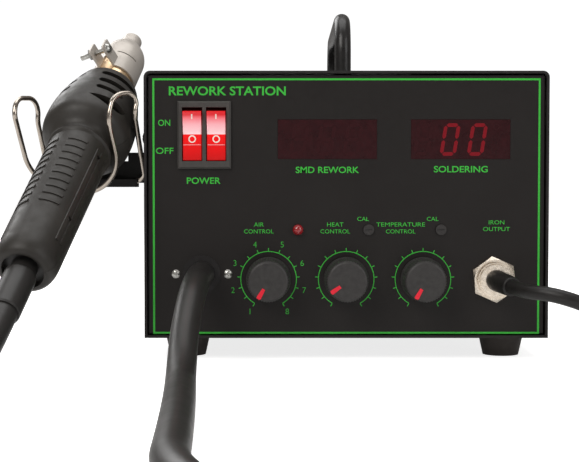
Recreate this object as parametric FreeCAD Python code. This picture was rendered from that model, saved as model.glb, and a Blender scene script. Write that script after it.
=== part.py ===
import FreeCAD, Part
import math
import os

# A two-in-one rework station: a steel case with a hot-air gun in a wire cradle on its left side,
# the gun's air hose, and a soldering iron on a cord at its right.
# All sizes are in millimetres. The model is drawn in case coordinates: x to the right from the
# middle of the case, y backwards from the front panel's face, z up from the desk. Every solid is
# moved by ORIGIN_SHIFT when it is written, so that the origin is at the middle of the station's
# footprint, without its cords.
ORIGIN_SHIFT = (27.9, -75.7, 0.0)

V = FreeCAD.Vector

# --- case -------------------------------------------------------------------------------------
CASE_WIDTH = 187.0
CASE_DEPTH = 245.0
CASE_BOTTOM = 10.3
CASE_TOP = 133.8
SHEET = 1.2
CORNER_RADIUS = 3.0
LIP = 1.6                      # how far the shell stands proud of the front panel
PANEL_THICKNESS = 2.0
PANEL_GAP = 0.9
HALF_WIDTH = CASE_WIDTH / 2.0
CASE_HEIGHT = CASE_TOP - CASE_BOTTOM
FOOT_HEIGHT = CASE_BOTTOM
FOOT_TOP_RADIUS = 10.75
FOOT_BOTTOM_RADIUS = 8.5
FOOT_POCKET = 4.5              # how deep the foot's screw head sits
FOOT_X = 75.0
FOOT_Y = (22.0, 223.0)
SIDE_SCREW_Z = 103.0
SIDE_SCREW_Y = (9.0, 232.0)
SCREW_RADIUS = 1.95            # of every screw in the case
HOLE_RADIUS = 2.0              # of every screw hole in the case
FLOOR_IN = CASE_BOTTOM + SHEET
TRAY_GAP = 0.15                # between the tray's flanges and the cover's sides
FLANGE_HEIGHT = 12.0
TAB_HALF_WIDTH = 6.0
SIDE_VENTS = {"count": 9, "first": 150.0, "step": 8.0, "width": 3.0, "low": 34.0, "high": 62.0}
FLOOR_VENTS = {"count": 8, "first": -36.5, "step": 10.0, "width": 3.0, "low": 176.0, "high": 206.0}
REAR_VENTS = {"count": 10, "first": -46.75, "step": 10.0, "width": 3.5, "low": 87.0, "high": 113.0}

# --- back of the case -------------------------------------------------------------------------
REAR_FACE = CASE_DEPTH - 4.0
REAR_THICKNESS = 1.5
REAR_OUTSIDE = REAR_FACE + REAR_THICKNESS
INLET_X, INLET_Z = 52.0, 42.0
INLET_WIDTH, INLET_HEIGHT = 27.4, 19.8
INLET_EAR = 20.0               # from the inlet's middle to each of its screws
INLET_WALL = 1.7
INLET_CORNER = 4.0             # the mouth's two slanted corners
INLET_PINS = ((-7.0, -1.5), (0.0, 2.5), (7.0, -1.5))
FUSE_X, FUSE_Z = 15.0, 42.0
FUSE_RADIUS = 6.2

# --- carrying handle --------------------------------------------------------------------------
HANDLE_RADIUS = 4.0
HANDLE_Y = (46.0, 186.0)
HANDLE_TOP = 163.0
HANDLE_BEND = 17.0

# --- front panel ------------------------------------------------------------------------------
SWITCH_X = -65.65
SWITCH_Z = 104.3
SWITCH_WIDTH = 24.7
SWITCH_HEIGHT = 31.2
ROCKER_X = (-71.2, -60.1)
ROCKER_WIDTH = 8.5
ROCKER_HEIGHT = 23.2
ROCKER_Z = 104.6
ROCKER_PIVOT_Y = 3.2
ROCKER_SWING = 18.0
ROCKER_CREST = -1.0            # y of its crease when it stands in the middle of its swing
ROCKER_CREASE = 1.3            # how far above the pivot the crease lies
DISPLAY_X = (-8.8, 52.8)
DISPLAY_Z = 102.3
DISPLAY_WIDTH = 46.0
DISPLAY_HEIGHT = 18.4
KNOB_X = {"air": -36.0, "heat": 0.0, "temperature": 35.6}
KNOB_Z = 37.5
KNOB_POINTS = {"air": -150.0, "heat": -125.0, "temperature": -150.0}
KNOB_SKIRT_RADIUS = 10.35
KNOB_FACE_RADIUS = 9.45
KNOB_HEIGHT = 15.0
KNOB_STANDOFF = 0.8
KNOB_FLUTES = 48
SHAFT_RADIUS = 3.0
BUSH_RADIUS = 3.55             # of the potentiometer's threaded bush
LED_X, LED_Z = -22.4, 60.5
LED_RADIUS = 2.5
CAL_X = {"heat": 10.4, "temperature": 43.9}
CAL_Z = 60.5
CAL_RADIUS = 2.45
PORT_X, PORT_Z = -67.0, 39.9
PORT_RADIUS = 8.75
PORT_SCREW_X = (-79.0, -54.9)
PORT_SCREW_RADIUS = 1.45
SOCKET_X, SOCKET_Z = 68.5, 37.5
SOCKET_RADIUS = 8.0
NUT_FLATS = 18.8
NUT_TURN = 6.0

# --- inside the case --------------------------------------------------------------------------
TRANSFORMER = (58.0, 150.0)
PUMP = (-48.0, 120.0)
BOARD_BOTTOM = 24.0
BOARD_THICKNESS = 1.6

# --- gun --------------------------------------------------------------------------------------
# Its own frame runs along the gun, to its right and up from its axis, from the grip's rear end.
# In an outline a pair is (distance along the axis, radius), and a list of pairs holds the control
# points of a curve from the pair before it to its own last pair.
GUN_REAR = V(-135.69, -75.17, 46.51)
GUN_AXIS = V(0.1561, 0.7976, 0.5827).normalize()
GUN_RIGHT = GUN_AXIS.cross(V(0, 0, 1)).normalize()
GUN_UP = GUN_RIGHT.cross(GUN_AXIS).normalize()
GRIP_OUTLINE = [(-0.5, 9.6), [(-0.2, 11.8), (2.6, 13.4), (8.5, 13.5)], (83.0, 14.0),
                [(83.8, 14.05), (84.0, 14.9), (84.8, 14.9)], [(85.6, 14.9), (85.7, 14.4), (86.4, 14.4)],
                [(91.0, 14.5), (90.8, 20.6), (98.0, 20.95)], [(102.0, 21.15), (105.0, 21.1), (108.5, 20.8)]]
GRIP_HOLLOW = [(-1.5, 9.0), (6.0, 9.0), [(8.0, 9.0), (8.0, 11.3), (10.0, 11.3)], (88.0, 12.0),
               [(93.0, 12.2), (93.4, 18.3), (100.0, 18.75)], (109.5, 18.6)]
RIB_SKIN = [(8.0, 13.95), (86.0, 14.45)]
RIB_COUNT = 10
RIB_FIRST, RIB_STEP = 31.0, 5.0
RIB_ROWS = (-9.0, 4.6)         # how far to the right the middle of each row stands
RIB_REACH = 4.2
RIB_WIDTH = 1.5
LONG_RIB_UP = (3.0, 5.7)
LONG_RIB_WIDTH = 1.3
LONG_RIB_ENDS = (13.0, 78.0)
SHELL_GAP = 0.05               # half the seam between the two shells
GUN_SCREW_T = (29.0, 74.0)
GUN_SCREW_AXIS = GUN_RIGHT * 0.934 + GUN_UP * 0.358
LEAF_TIP, LEAF_END = (103.3, 13.0), (103.0, 62.0)      # distance along, degrees from up to the right
LEAF_FRONT = [(104.8, 28.0), (105.4, 50.0)]
LEAF_REAR = [(97.0, 60.0), (98.0, 36.0)]
LEAF_MIDDLE = 38.0
COLLAR_OUTLINE = [(105.5, 18.45), (108.5, 18.45), (108.5, 20.8),
                  [(116.0, 20.2), (127.0, 17.4), (131.5, 15.9)], [(133.8, 15.15), (135.6, 15.0), (135.6, 14.0)]]
COLLAR_HOLLOW = [(104.5, 16.4), (110.0, 16.4), [(118.0, 16.6), (126.0, 15.6), (130.5, 13.9)], (133.2, 13.3)]
COLLAR_WALL = (11.9, 12.9)     # inner and outer radius of its inner wall
COLLAR_WALL_ENDS = (112.0, 133.3)
COLLAR_FRONT = (133.0, 136.6)
COLLAR_SLOTS = ((125.3, 129.7, 21.0, 76.0), (116.5, 120.8, 23.0, 61.0), (109.5, 112.8, 23.0, 53.0))
COLLAR_ROLL = -4.0             # the slots lie alike each side of this direction, in degrees
HEATER_RADIUS = 10.2
HEATER_START, HEATER_END = 114.0, 155.5
HEATER_WALL = 0.8
HEATER_FLANGE = (131.7, 133.2)
HEATER_FLANGE_RADIUS = 11.8
HEATER_CORE_RADIUS = 8.6
HEATER_CORE_ENDS = (112.0, 152.0)
NOZZLE_START = 144.5
NOZZLE_OUTLINE = [(NOZZLE_START, 11.0), (165.0, 10.9), [(169.5, 10.8), (172.5, 8.6), (175.5, 7.0)],
                  [(176.9, 6.25), (177.6, 5.0), (179.6, 5.0)], (184.6, 5.0)]
NOZZLE_CLEARANCE = 0.06
NOZZLE_BORE = HEATER_RADIUS + NOZZLE_CLEARANCE
NOZZLE_HOLLOW = [(143.5, NOZZLE_BORE), (163.5, NOZZLE_BORE), [(168.6, 10.1), (171.8, 7.9), (174.9, 6.3)],
                 [(176.2, 5.4), (177.0, 4.3), (178.8, 4.3)], (185.6, 4.3)]
NOZZLE_SLOT = (156.4, 157.2, 10.0, 65.0)
CLAMP_TURN = math.radians(-20.0)
CLAMP_OUT = GUN_UP * math.cos(CLAMP_TURN) + GUN_RIGHT * math.sin(CLAMP_TURN)
CLAMP_ACROSS = GUN_RIGHT * math.cos(CLAMP_TURN) - GUN_UP * math.sin(CLAMP_TURN)
CLAMP_ENDS = (144.5, 152.0)
CLAMP_GAP_ENDS = (143.5, 154.0)
CLAMP_ROOT = 8.0
CLAMP_CORNER = 0.6
CLAMP_TOP = 19.8
CLAMP_THICKNESS = 1.1
CLAMP_EARS = (-1.9, 5.4)       # where each ear starts across the gun
CLAMP_SCREW = (148.0, 16.3)    # along the gun and out from its axis
CLAMP_SCREW_RADIUS = 1.25
SLEEVE_OUTLINE = [(-26.0, 6.6), (-25.0, 6.8), (-4.2, 6.8), [(-3.7, 6.8), (-3.5, 6.7), (-3.5, 6.4)],
                  (-3.5, 5.6), (3.0, 5.6), (3.0, 8.95), (5.8, 8.95)]

# --- cradle -----------------------------------------------------------------------------------
WIRE_RADIUS = 1.15
CRADLE_T = 85.0                # where along the gun the front bow passes round it
RUN_Z = 82.6                   # of the wire's back run
BRACKET_Z = 89.3
BRACKET_LOW, BRACKET_HIGH = 82.0, 96.6
BRACKET_Y = 27.0
BRACKET_THICKNESS = 1.8
BRACKET_SCREW_Y = (40.0, 56.0)
HOOK_X = (-128.0, -99.0)       # the ends of the hook that holds the wire
HOOK_Y = 20.4
HOOK_THICKNESS = 1.4

# --- cords ------------------------------------------------------------------------------------
HOSE_RADIUS = 6.0
HOSE_END = -26.4              # just short of the gun's sleeve, along the gun's axis
HOSE_COIL_CENTRE = (-96.0, -386.0)
HOSE_COIL_RADIUS = 84.0
HOSE_COIL_STEP = 13.0          # how much nearer the middle each turn lies
HOSE_COIL_START = 45.0         # degrees from +x
HOSE_COIL_TURN = 585.0
HOSE_COIL_POINTS = 18
CORD_RADIUS = 3.2
CORD_COIL_CENTRE = (181.0, 52.0)
CORD_COIL_OUTER = 38.4         # the outermost turn's centre line
CORD_COIL_TURNS = 5
BOOT_AXIS = V(0.28, -0.955, -0.10).normalize()
BOOT_LENGTH = 17.0
PLUG_FRONT = -8.0

# --- soldering iron ---------------------------------------------------------------------------
IRON_REAR = V(158.0, 132.0, 13.2)
IRON_AXIS = V(0.17, 0.985, 0.0).normalize()


# --- helpers ----------------------------------------------------------------------------------
def box(low, high):
    """A box between two corners."""
    size = [h - l for l, h in zip(low, high)]
    return Part.makeBox(size[0], size[1], size[2], V(*low))


def rod(radius, start, end):
    """A cylinder between two points."""
    start, end = V(*start), V(*end)
    return Part.makeCylinder(radius, (end - start).Length, start, end - start)


def ring(outer, inner, start, end):
    """A tube between two points."""
    return rod(outer, start, end).cut(rod(inner, start, end))


def outline_edges(outline):
    """The edges of an outline of (distance along, radius) pairs, with its curves."""
    edges = []
    at = V(outline[0][1], 0, outline[0][0])
    for item in outline[1:]:
        if isinstance(item, list):
            poles = [at] + [V(radius, 0, along) for along, radius in item]
            curve = Part.BezierCurve()
            curve.setPoles(poles)
            edges.append(curve.toShape())
            at = poles[-1]
        else:
            end = V(item[1], 0, item[0])
            edges.append(Part.LineSegment(at, end).toShape())
            at = end
    return edges, at


def turned(outline, start, axis):
    """A solid of revolution: outline holds (distance along the axis, radius) pairs and curves."""
    edges, last = outline_edges(outline)
    first = V(outline[0][1], 0, outline[0][0])
    foot, top = V(0, 0, first.z), V(0, 0, last.z)
    edges = [Part.LineSegment(foot, first).toShape()] + edges
    edges += [Part.LineSegment(last, top).toShape(), Part.LineSegment(top, foot).toShape()]
    face = Part.Face(Part.Wire(edges))
    return placed(face.revolve(V(0, 0, 0), V(0, 0, 1), 360), start, axis)


def placed(solid, start, axis, turn=0.0):
    """The solid, drawn along +Z from the origin, moved to start and laid along axis."""
    move = FreeCAD.Placement(V(*start), FreeCAD.Rotation(V(0, 0, 1), V(*axis)))
    spin = FreeCAD.Placement(V(0, 0, 0), FreeCAD.Rotation(V(0, 0, 1), turn))
    solid = solid.copy()
    solid.Placement = move.multiply(spin).multiply(solid.Placement)
    return solid


def prism(points, direction):
    """A flat outline pushed along a direction."""
    loop = [V(*p) for p in points]
    return Part.Face(Part.makePolygon(loop + [loop[0]])).extrude(V(*direction))


def together(solids):
    """One shape of several fused solids."""
    result = solids[0]
    for solid in solids[1:]:
        result = result.fuse(solid)
    return result.removeSplitter()


def group(solids):
    """Separate solids that share a node."""
    flat = []
    for solid in solids:
        flat.extend(solid.Solids)
    return Part.makeCompound(flat)


def less(solid, cutters):
    """The solid with every cutter taken out of it."""
    for cutter in cutters:
        solid = solid.cut(cutter)
    return solid


def path_through(points, radii=None):
    """Straight runs joined by tangent arcs; each arc is as large as its runs allow, or as stated."""
    edges = []
    at = points[0]
    bends = []
    for i in range(1, len(points) - 1):
        before, here, after = points[i - 1], points[i], points[i + 1]
        u = (before - here).normalize()
        w = (after - here).normalize()
        half_turn = (math.pi - u.getAngle(w)) / 2.0
        short = min((before - here).Length, (after - here).Length)
        radius = 0.45 * short / math.tan(half_turn)
        if radii and radii.get(i):
            radius = radii[i]
        reach = radius * math.tan(half_turn)
        start, end = here + u * reach, here + w * reach
        middle = here + (u + w).normalize() * (radius / math.cos(half_turn) - radius)
        edges.append(Part.LineSegment(at, start).toShape())
        edges.append(Part.Arc(start, middle, end).toShape())
        bends.append(radius)
        at = end
    edges.append(Part.LineSegment(at, points[-1]).toShape())
    return Part.Wire(edges), bends


def tube_along(name, points, radius, radii=None):
    """A round bar or cord along a route; prints its length, bends and volume."""
    wire, bends = path_through(points, radii)
    first = (points[1] - points[0]).normalize()
    circle = Part.Wire([Part.makeCircle(radius, points[0], first)])
    solid = wire.makePipeShell([circle], True, False)
    expected = math.pi * radius * radius * wire.Length
    print("%s: length %.0f, volume %.4f of section x length, bend radii %s"
          % (name, wire.Length, solid.Volume / expected, [round(bend) for bend in bends]))
    return solid


def gun_point(along, right=0.0, up=0.0):
    """A point in the gun's own frame."""
    return GUN_REAR + GUN_AXIS * along + GUN_RIGHT * right + GUN_UP * up


def gun_turned(outline):
    """A solid of revolution about the gun's axis."""
    return turned(outline, GUN_REAR, GUN_AXIS)


def gun_radial(along, degrees, distance):
    """A point at a distance from the gun's axis; degrees run from up towards the right."""
    angle = math.radians(degrees)
    return gun_point(along, distance * math.sin(angle), distance * math.cos(angle))


def gun_slot(low, high, start, end, depth):
    """A cutter for a slot round the gun, with round ends, that reaches in to the radius depth."""
    far = 40.0
    middle = (low + high) / 2
    band = ring(far, depth, gun_point(low), gun_point(high))
    wedge = prism([gun_point(low), gun_radial(low, start, 2 * far), gun_radial(low, end, 2 * far)],
                  GUN_AXIS * (high - low))
    ends = [rod((high - low) / 2, gun_radial(middle, angle, depth), gun_radial(middle, angle, far))
            for angle in (start, end)]
    return together([band.common(wedge)] + ends)


def gun_box(low, high):
    """A box in the gun's frame; corners are (along, right, up)."""
    corners = [(low[1], low[2]), (high[1], low[2]), (high[1], high[2]), (low[1], high[2])]
    loop = [gun_point(low[0], right, up) for right, up in corners]
    return prism(loop, GUN_AXIS * (high[0] - low[0]))


# --- screws -----------------------------------------------------------------------------------
def round_screw(head_radius, head_height, shank_radius, shank_length, seat, axis):
    """A round-head cross-recess screw; axis points out of its head."""
    sphere_radius = (head_radius ** 2 + head_height ** 2) / (2.0 * head_height)
    ball = Part.makeSphere(sphere_radius, V(0, 0, head_height - sphere_radius))
    head = ball.common(Part.makeCylinder(head_radius, head_height))
    reach, half, floor = head_radius * 0.52, head_radius * 0.12, head_height * 0.45
    slots = [box((-reach, -half, floor), (reach, half, head_height + 1)),
             box((-half, -reach, floor), (half, reach, head_height + 1))]
    screw = less(head.fuse(Part.makeCylinder(shank_radius, shank_length + 0.01, V(0, 0, -shank_length))),
                 slots)
    return placed(screw.removeSplitter(), seat, axis, 20.0)


def hexagon(flats, height, seat, axis, turn=0.0):
    """A hexagonal prism standing on its seat."""
    reach = flats / math.sqrt(3.0)
    loop = [V(reach * math.cos(math.radians(60 * i)), reach * math.sin(math.radians(60 * i)), 0)
            for i in range(6)]
    return placed(prism(loop, (0, 0, height)), seat, axis, turn)


# --- case -------------------------------------------------------------------------------------
def feet():
    solids = []
    for x in (-FOOT_X, FOOT_X):
        for y in FOOT_Y:
            foot = Part.makeCone(FOOT_BOTTOM_RADIUS, FOOT_TOP_RADIUS, FOOT_HEIGHT, V(x, y, 0))
            pocket = Part.makeCylinder(4.6, FOOT_POCKET, V(x, y, 0))
            bore = Part.makeCylinder(HOLE_RADIUS, FOOT_HEIGHT, V(x, y, 0))
            solids.append(less(foot, [pocket, bore]))
    return group(solids)


def foot_screws():
    return group([round_screw(3.6, 2.2, SCREW_RADIUS, 9.5, (x, y, FOOT_POCKET), (0, 0, -1))
                  for x in (-FOOT_X, FOOT_X) for y in FOOT_Y])


def shell_section(inset):
    """The case's outline with its two round top corners, inset from its outside."""
    half, top, radius = HALF_WIDTH - inset, CASE_TOP - inset, max(CORNER_RADIUS - inset, 0.6)
    low = CASE_BOTTOM + inset
    bend = radius * (1 - math.cos(math.pi / 4))
    edges = [
        Part.LineSegment(V(-half, 0, low), V(-half, 0, top - radius)).toShape(),
        Part.Arc(V(-half, 0, top - radius), V(-half + bend, 0, top - bend),
                 V(-half + radius, 0, top)).toShape(),
        Part.LineSegment(V(-half + radius, 0, top), V(half - radius, 0, top)).toShape(),
        Part.Arc(V(half - radius, 0, top), V(half - bend, 0, top - bend),
                 V(half, 0, top - radius)).toShape(),
        Part.LineSegment(V(half, 0, top - radius), V(half, 0, low)).toShape(),
        Part.LineSegment(V(half, 0, low), V(-half, 0, low)).toShape(),
    ]
    return Part.Face(Part.Wire(edges))


def vent_starts(vents):
    """Where each slot of a row begins."""
    return [vents["first"] + vents["step"] * i for i in range(vents["count"])]


def side_vents():
    """Upright slots low on both sides of the cover, towards the back."""
    slots = []
    for x in (-HALF_WIDTH, HALF_WIDTH):
        for y in vent_starts(SIDE_VENTS):
            slots.append(box((x - 3, y, SIDE_VENTS["low"]),
                             (x + 3, y + SIDE_VENTS["width"], SIDE_VENTS["high"])))
    return slots


def top_cover():
    """The folded cover: both sides and the top, open below, in front and behind."""
    outer = shell_section(0).extrude(V(0, CASE_DEPTH + LIP, 0))
    inner = shell_section(SHEET).extrude(V(0, CASE_DEPTH + LIP, 0))
    low = box((-HALF_WIDTH + SHEET, 0, CASE_BOTTOM - 1),
              (HALF_WIDTH - SHEET, CASE_DEPTH + LIP, CASE_BOTTOM + SHEET + 1))
    cover = less(outer, [inner, low])
    cover.translate(V(0, -LIP, 0))
    holes = side_vents()
    for y in HANDLE_Y:
        holes.append(Part.makeCylinder(HANDLE_RADIUS + 0.2, 6, V(0, y, CASE_TOP - 3)))
    for x in (-HALF_WIDTH, HALF_WIDTH):
        for y in SIDE_SCREW_Y:
            holes.append(rod(HOLE_RADIUS, (x - 3, y, SIDE_SCREW_Z), (x + 3, y, SIDE_SCREW_Z)))
    for y in BRACKET_SCREW_Y:
        holes.append(rod(HOLE_RADIUS, (-HALF_WIDTH - 3, y, BRACKET_Z), (-HALF_WIDTH + 3, y, BRACKET_Z)))
    return less(cover, holes)


def base_tray():
    """The folded base: a floor with a lip in front and four tabs that take the side screws."""
    inside = HALF_WIDTH - SHEET - TRAY_GAP
    floor = box((-inside, -LIP, CASE_BOTTOM), (inside, CASE_DEPTH, FLOOR_IN))
    flanges = []
    for side in (-1, 1):
        low, high = sorted((side * inside, side * (inside - SHEET)))
        flanges.append(box((low, 8.0, CASE_BOTTOM), (high, CASE_DEPTH - 4, CASE_BOTTOM + FLANGE_HEIGHT)))
        for y in SIDE_SCREW_Y:
            flanges.append(box((low, max(y - TAB_HALF_WIDTH, 3.0), CASE_BOTTOM),
                               (high, y + TAB_HALF_WIDTH, SIDE_SCREW_Z + TAB_HALF_WIDTH)))
    holes = [Part.makeCylinder(HOLE_RADIUS, 6, V(x, y, CASE_BOTTOM - 2))
             for x in (-FOOT_X, FOOT_X) for y in FOOT_Y]
    for side in (-1, 1):
        for y in SIDE_SCREW_Y:
            holes.append(rod(SCREW_RADIUS + 0.02, (side * (HALF_WIDTH - 6), y, SIDE_SCREW_Z),
                             (side * HALF_WIDTH, y, SIDE_SCREW_Z)))
    for x in vent_starts(FLOOR_VENTS):
        holes.append(box((x, FLOOR_VENTS["low"], CASE_BOTTOM - 1),
                         (x + FLOOR_VENTS["width"], FLOOR_VENTS["high"], FLOOR_IN + 1)))
    return less(together([floor] + flanges), holes)


def cover_screws():
    screws = []
    for side in (-1, 1):
        for y in SIDE_SCREW_Y:
            screws.append(round_screw(3.9, 1.7, SCREW_RADIUS, 6.0, (side * HALF_WIDTH, y, SIDE_SCREW_Z),
                                      (side, 0, 0)))
    return group(screws)


def window(x, z, width, height, face):
    """A cutter for a rectangular opening in a panel whose front is at face."""
    return box((x - width / 2, face - 1, z - height / 2), (x + width / 2, face + 5, z + height / 2))


def hole(x, z, radius, face=0.0):
    """A cutter for a round opening in a panel whose front is at face."""
    return rod(radius, (x, face - 1, z), (x, face + 5, z))


def front_panel():
    panel = shell_section(SHEET + PANEL_GAP).extrude(V(0, PANEL_THICKNESS, 0))
    cuts = [window(SWITCH_X, SWITCH_Z, SWITCH_WIDTH - 2.4, SWITCH_HEIGHT - 2.4, 0.0)]
    cuts += [window(x, DISPLAY_Z, DISPLAY_WIDTH, DISPLAY_HEIGHT, 0.0) for x in DISPLAY_X]
    cuts += [hole(x, KNOB_Z, BUSH_RADIUS + 0.05) for x in KNOB_X.values()]
    cuts += [hole(x, CAL_Z, CAL_RADIUS + 0.05) for x in CAL_X.values()]
    cuts += [hole(x, PORT_Z, PORT_SCREW_RADIUS + 0.05) for x in PORT_SCREW_X]
    cuts += [hole(LED_X, LED_Z, LED_RADIUS), hole(PORT_X, PORT_Z, PORT_RADIUS),
             hole(SOCKET_X, SOCKET_Z, SOCKET_RADIUS)]
    return less(panel, cuts)


def rear_panel():
    panel = shell_section(SHEET + 0.3).extrude(V(0, REAR_THICKNESS, 0))
    panel.translate(V(0, REAR_FACE, 0))
    cuts = [window(INLET_X, INLET_Z, INLET_WIDTH, INLET_HEIGHT, REAR_FACE),
            hole(FUSE_X, FUSE_Z, FUSE_RADIUS, REAR_FACE)]
    cuts += [hole(INLET_X + ear, INLET_Z, 1.6, REAR_FACE) for ear in (-INLET_EAR, INLET_EAR)]
    for x in vent_starts(REAR_VENTS):
        cuts.append(box((x, REAR_FACE - 1, REAR_VENTS["low"]),
                        (x + REAR_VENTS["width"], REAR_FACE + 5, REAR_VENTS["high"])))
    return less(panel, cuts)


def carry_handle():
    foot = CASE_TOP - SHEET - 7.0
    front, back = HANDLE_Y
    route = [V(0, front, foot), V(0, front, HANDLE_TOP), V(0, back, HANDLE_TOP), V(0, back, foot)]
    return tube_along("carry_handle", route, HANDLE_RADIUS, {1: HANDLE_BEND, 2: HANDLE_BEND})


def handle_fittings():
    """A washer on the cover and a nut under it at each end of the handle."""
    solids = []
    for y in HANDLE_Y:
        solids.append(ring(6.6, HANDLE_RADIUS, (0, y, CASE_TOP), (0, y, CASE_TOP + 1.4)))
        low = CASE_TOP - SHEET - 5.0
        nut = hexagon(13.0, 5.0, (0, y, low), (0, 0, 1), 30.0)
        solids.append(nut.cut(rod(HANDLE_RADIUS, (0, y, low - 1), (0, y, low + 6))))
    return group(solids)


# --- switches ---------------------------------------------------------------------------------
def switch_housing():
    """One frame with two wells, and a body behind the panel with its terminals."""
    low = (SWITCH_X - SWITCH_WIDTH / 2, -1.9, SWITCH_Z - SWITCH_HEIGHT / 2)
    high = (SWITCH_X + SWITCH_WIDTH / 2, -0.02, SWITCH_Z + SWITCH_HEIGHT / 2)
    flange = box(low, high)
    front_edges = [e for e in flange.Edges if all(abs(v.Y - low[1]) < 1e-6 for v in e.Vertexes)]
    flange = flange.makeChamfer(0.8, front_edges)
    body = box((SWITCH_X - SWITCH_WIDTH / 2 + 1.4, -0.1, SWITCH_Z - SWITCH_HEIGHT / 2 + 1.4),
               (SWITCH_X + SWITCH_WIDTH / 2 - 1.4, 20.0, SWITCH_Z + SWITCH_HEIGHT / 2 - 1.4))
    housing = together([flange, body])
    wells = [box((x - ROCKER_WIDTH / 2 - 0.45, -3, ROCKER_Z - ROCKER_HEIGHT / 2 - 0.8),
                 (x + ROCKER_WIDTH / 2 + 0.45, 14.5, ROCKER_Z + ROCKER_HEIGHT / 2 + 0.8))
             for x in ROCKER_X]
    housing = less(housing, wells)
    terminals = [box((x - 0.4, 19.0, z - 2.4), (x + 0.4, 28.0, z + 2.4))
                 for x in ROCKER_X for z in (SWITCH_Z - 8.0, SWITCH_Z, SWITCH_Z + 8.0)]
    return together([housing] + terminals)


def rocker(x):
    """A rocker at rest in its OFF place: lower half in, upper half out."""
    half = ROCKER_HEIGHT / 2
    rise = math.tan(math.radians(ROCKER_SWING / 2)) * half
    crest = ROCKER_CREST
    swing = FreeCAD.Rotation(V(1, 0, 0), ROCKER_SWING / 2)
    pivot = V(0, ROCKER_PIVOT_Y, ROCKER_Z)
    outline = [(crest, ROCKER_CREASE), (crest - rise, half - 0.5), (crest - rise + 0.7, half - 0.1),
               (4.0, half - 0.5), (8.5, 5.0), (8.5, -5.0), (4.0, -half + 0.5),
               (crest - rise + 0.7, -half + 0.1), (crest - rise, -half + 0.5)]
    left = x - ROCKER_WIDTH / 2
    loop = [pivot + swing.multVec(V(0, y - ROCKER_PIVOT_Y, z)) for y, z in outline]
    loop = [V(left, p.y, p.z) for p in loop]
    return prism(loop, (ROCKER_WIDTH, 0, 0))


# --- displays ---------------------------------------------------------------------------------
def display_window(x):
    return box((x - DISPLAY_WIDTH / 2 + 0.1, -0.1, DISPLAY_Z - DISPLAY_HEIGHT / 2 + 0.1),
               (x + DISPLAY_WIDTH / 2 - 0.1, 1.9, DISPLAY_Z + DISPLAY_HEIGHT / 2 - 0.1))


def display_modules():
    return group([box((x - 19, 3.0, DISPLAY_Z - 8.6), (x + 19, 10.0, DISPLAY_Z + 8.6)) for x in DISPLAY_X])


def display_board():
    board = box((-36, 10.0, 88.0), (82, 11.6, 122.0))
    chips = [box((8, 11.6, 94), (24, 15.0, 102)), box((8, 11.6, 108), (24, 15.0, 116))]
    return together([board] + chips)


# --- knobs ------------------------------------------------------------------------------------
def knob(x, points_at):
    """A fluted knob with a flat face; its pointer groove stands at points_at degrees from the top."""
    seat = -KNOB_STANDOFF
    outline = [(0.0, KNOB_SKIRT_RADIUS), (1.6, KNOB_SKIRT_RADIUS), (2.2, KNOB_SKIRT_RADIUS - 0.35),
               (KNOB_HEIGHT - 1.4, KNOB_FACE_RADIUS + 0.1), (KNOB_HEIGHT - 0.3, KNOB_FACE_RADIUS - 0.55),
               (KNOB_HEIGHT, KNOB_FACE_RADIUS - 1.2)]
    body = turned(outline, (0, 0, 0), (0, 0, 1))
    tilt = math.degrees(math.atan((KNOB_SKIRT_RADIUS - KNOB_FACE_RADIUS) / KNOB_HEIGHT))
    flute = Part.makeCylinder(0.42, KNOB_HEIGHT + 2, V(KNOB_SKIRT_RADIUS - 0.02, 0, 2.4))
    flute.rotate(V(KNOB_SKIRT_RADIUS, 0, 2.4), V(0, 1, 0), -tilt)
    flutes = []
    for i in range(KNOB_FLUTES):
        copy = flute.copy()
        copy.rotate(V(0, 0, 0), V(0, 0, 1), 360.0 * i / KNOB_FLUTES)
        flutes.append(copy)
    body = body.cut(Part.makeCompound(flutes))
    hollow = Part.makeCylinder(KNOB_SKIRT_RADIUS - 1.8, 6.5).cut(Part.makeCylinder(5.0, 6.5))
    bore = Part.makeCylinder(SHAFT_RADIUS, 11.0)
    body = less(body, [hollow, bore])
    groove = box((-0.75, 4.6, KNOB_HEIGHT - 0.6), (0.75, KNOB_FACE_RADIUS + 1, KNOB_HEIGHT + 1))
    body = body.cut(groove)
    body = placed(body, (x, seat, KNOB_Z), (0, -1, 0))
    body = upright(body, x, KNOB_Z)
    body.rotate(V(x, 0, KNOB_Z), V(0, 1, 0), points_at)
    return body


def upright(solid, x, z):
    """Turn a placed dial until the mark on its face stands at the top."""
    turn = FreeCAD.Rotation(V(0, 0, 1), V(0, -1, 0)).multVec(V(0, 1, 0))
    angle = math.degrees(math.atan2(turn.x, turn.z))
    solid.rotate(V(x, 0, z), V(0, 1, 0), -angle)
    return solid


def knob_shaft(x):
    """The potentiometer's shaft, which turns with its knob."""
    return rod(SHAFT_RADIUS, (x, -KNOB_STANDOFF - 10.5, KNOB_Z), (x, 11.0, KNOB_Z))


def potentiometers():
    solids = []
    for x in KNOB_X.values():
        can = rod(8.4, (x, 5.6, KNOB_Z), (x, 14.5, KNOB_Z))
        bush = rod(BUSH_RADIUS, (x, -0.6, KNOB_Z), (x, 5.8, KNOB_Z))
        lugs = [box((x + dx - 0.6, 11.0, KNOB_Z - 13.0), (x + dx + 0.6, 11.8, KNOB_Z - 7.5))
                for dx in (-5, 0, 5)]
        body = together([can, bush] + lugs)
        solids.append(body.cut(rod(SHAFT_RADIUS + 0.05, (x, -2, KNOB_Z), (x, 11.5, KNOB_Z))))
        nut = hexagon(11.0, 2.2, (x, PANEL_THICKNESS + 0.1, KNOB_Z), (0, 1, 0))
        solids.append(nut.cut(rod(BUSH_RADIUS, (x, 0, KNOB_Z), (x, 8, KNOB_Z))))
    return group(solids)


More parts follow.
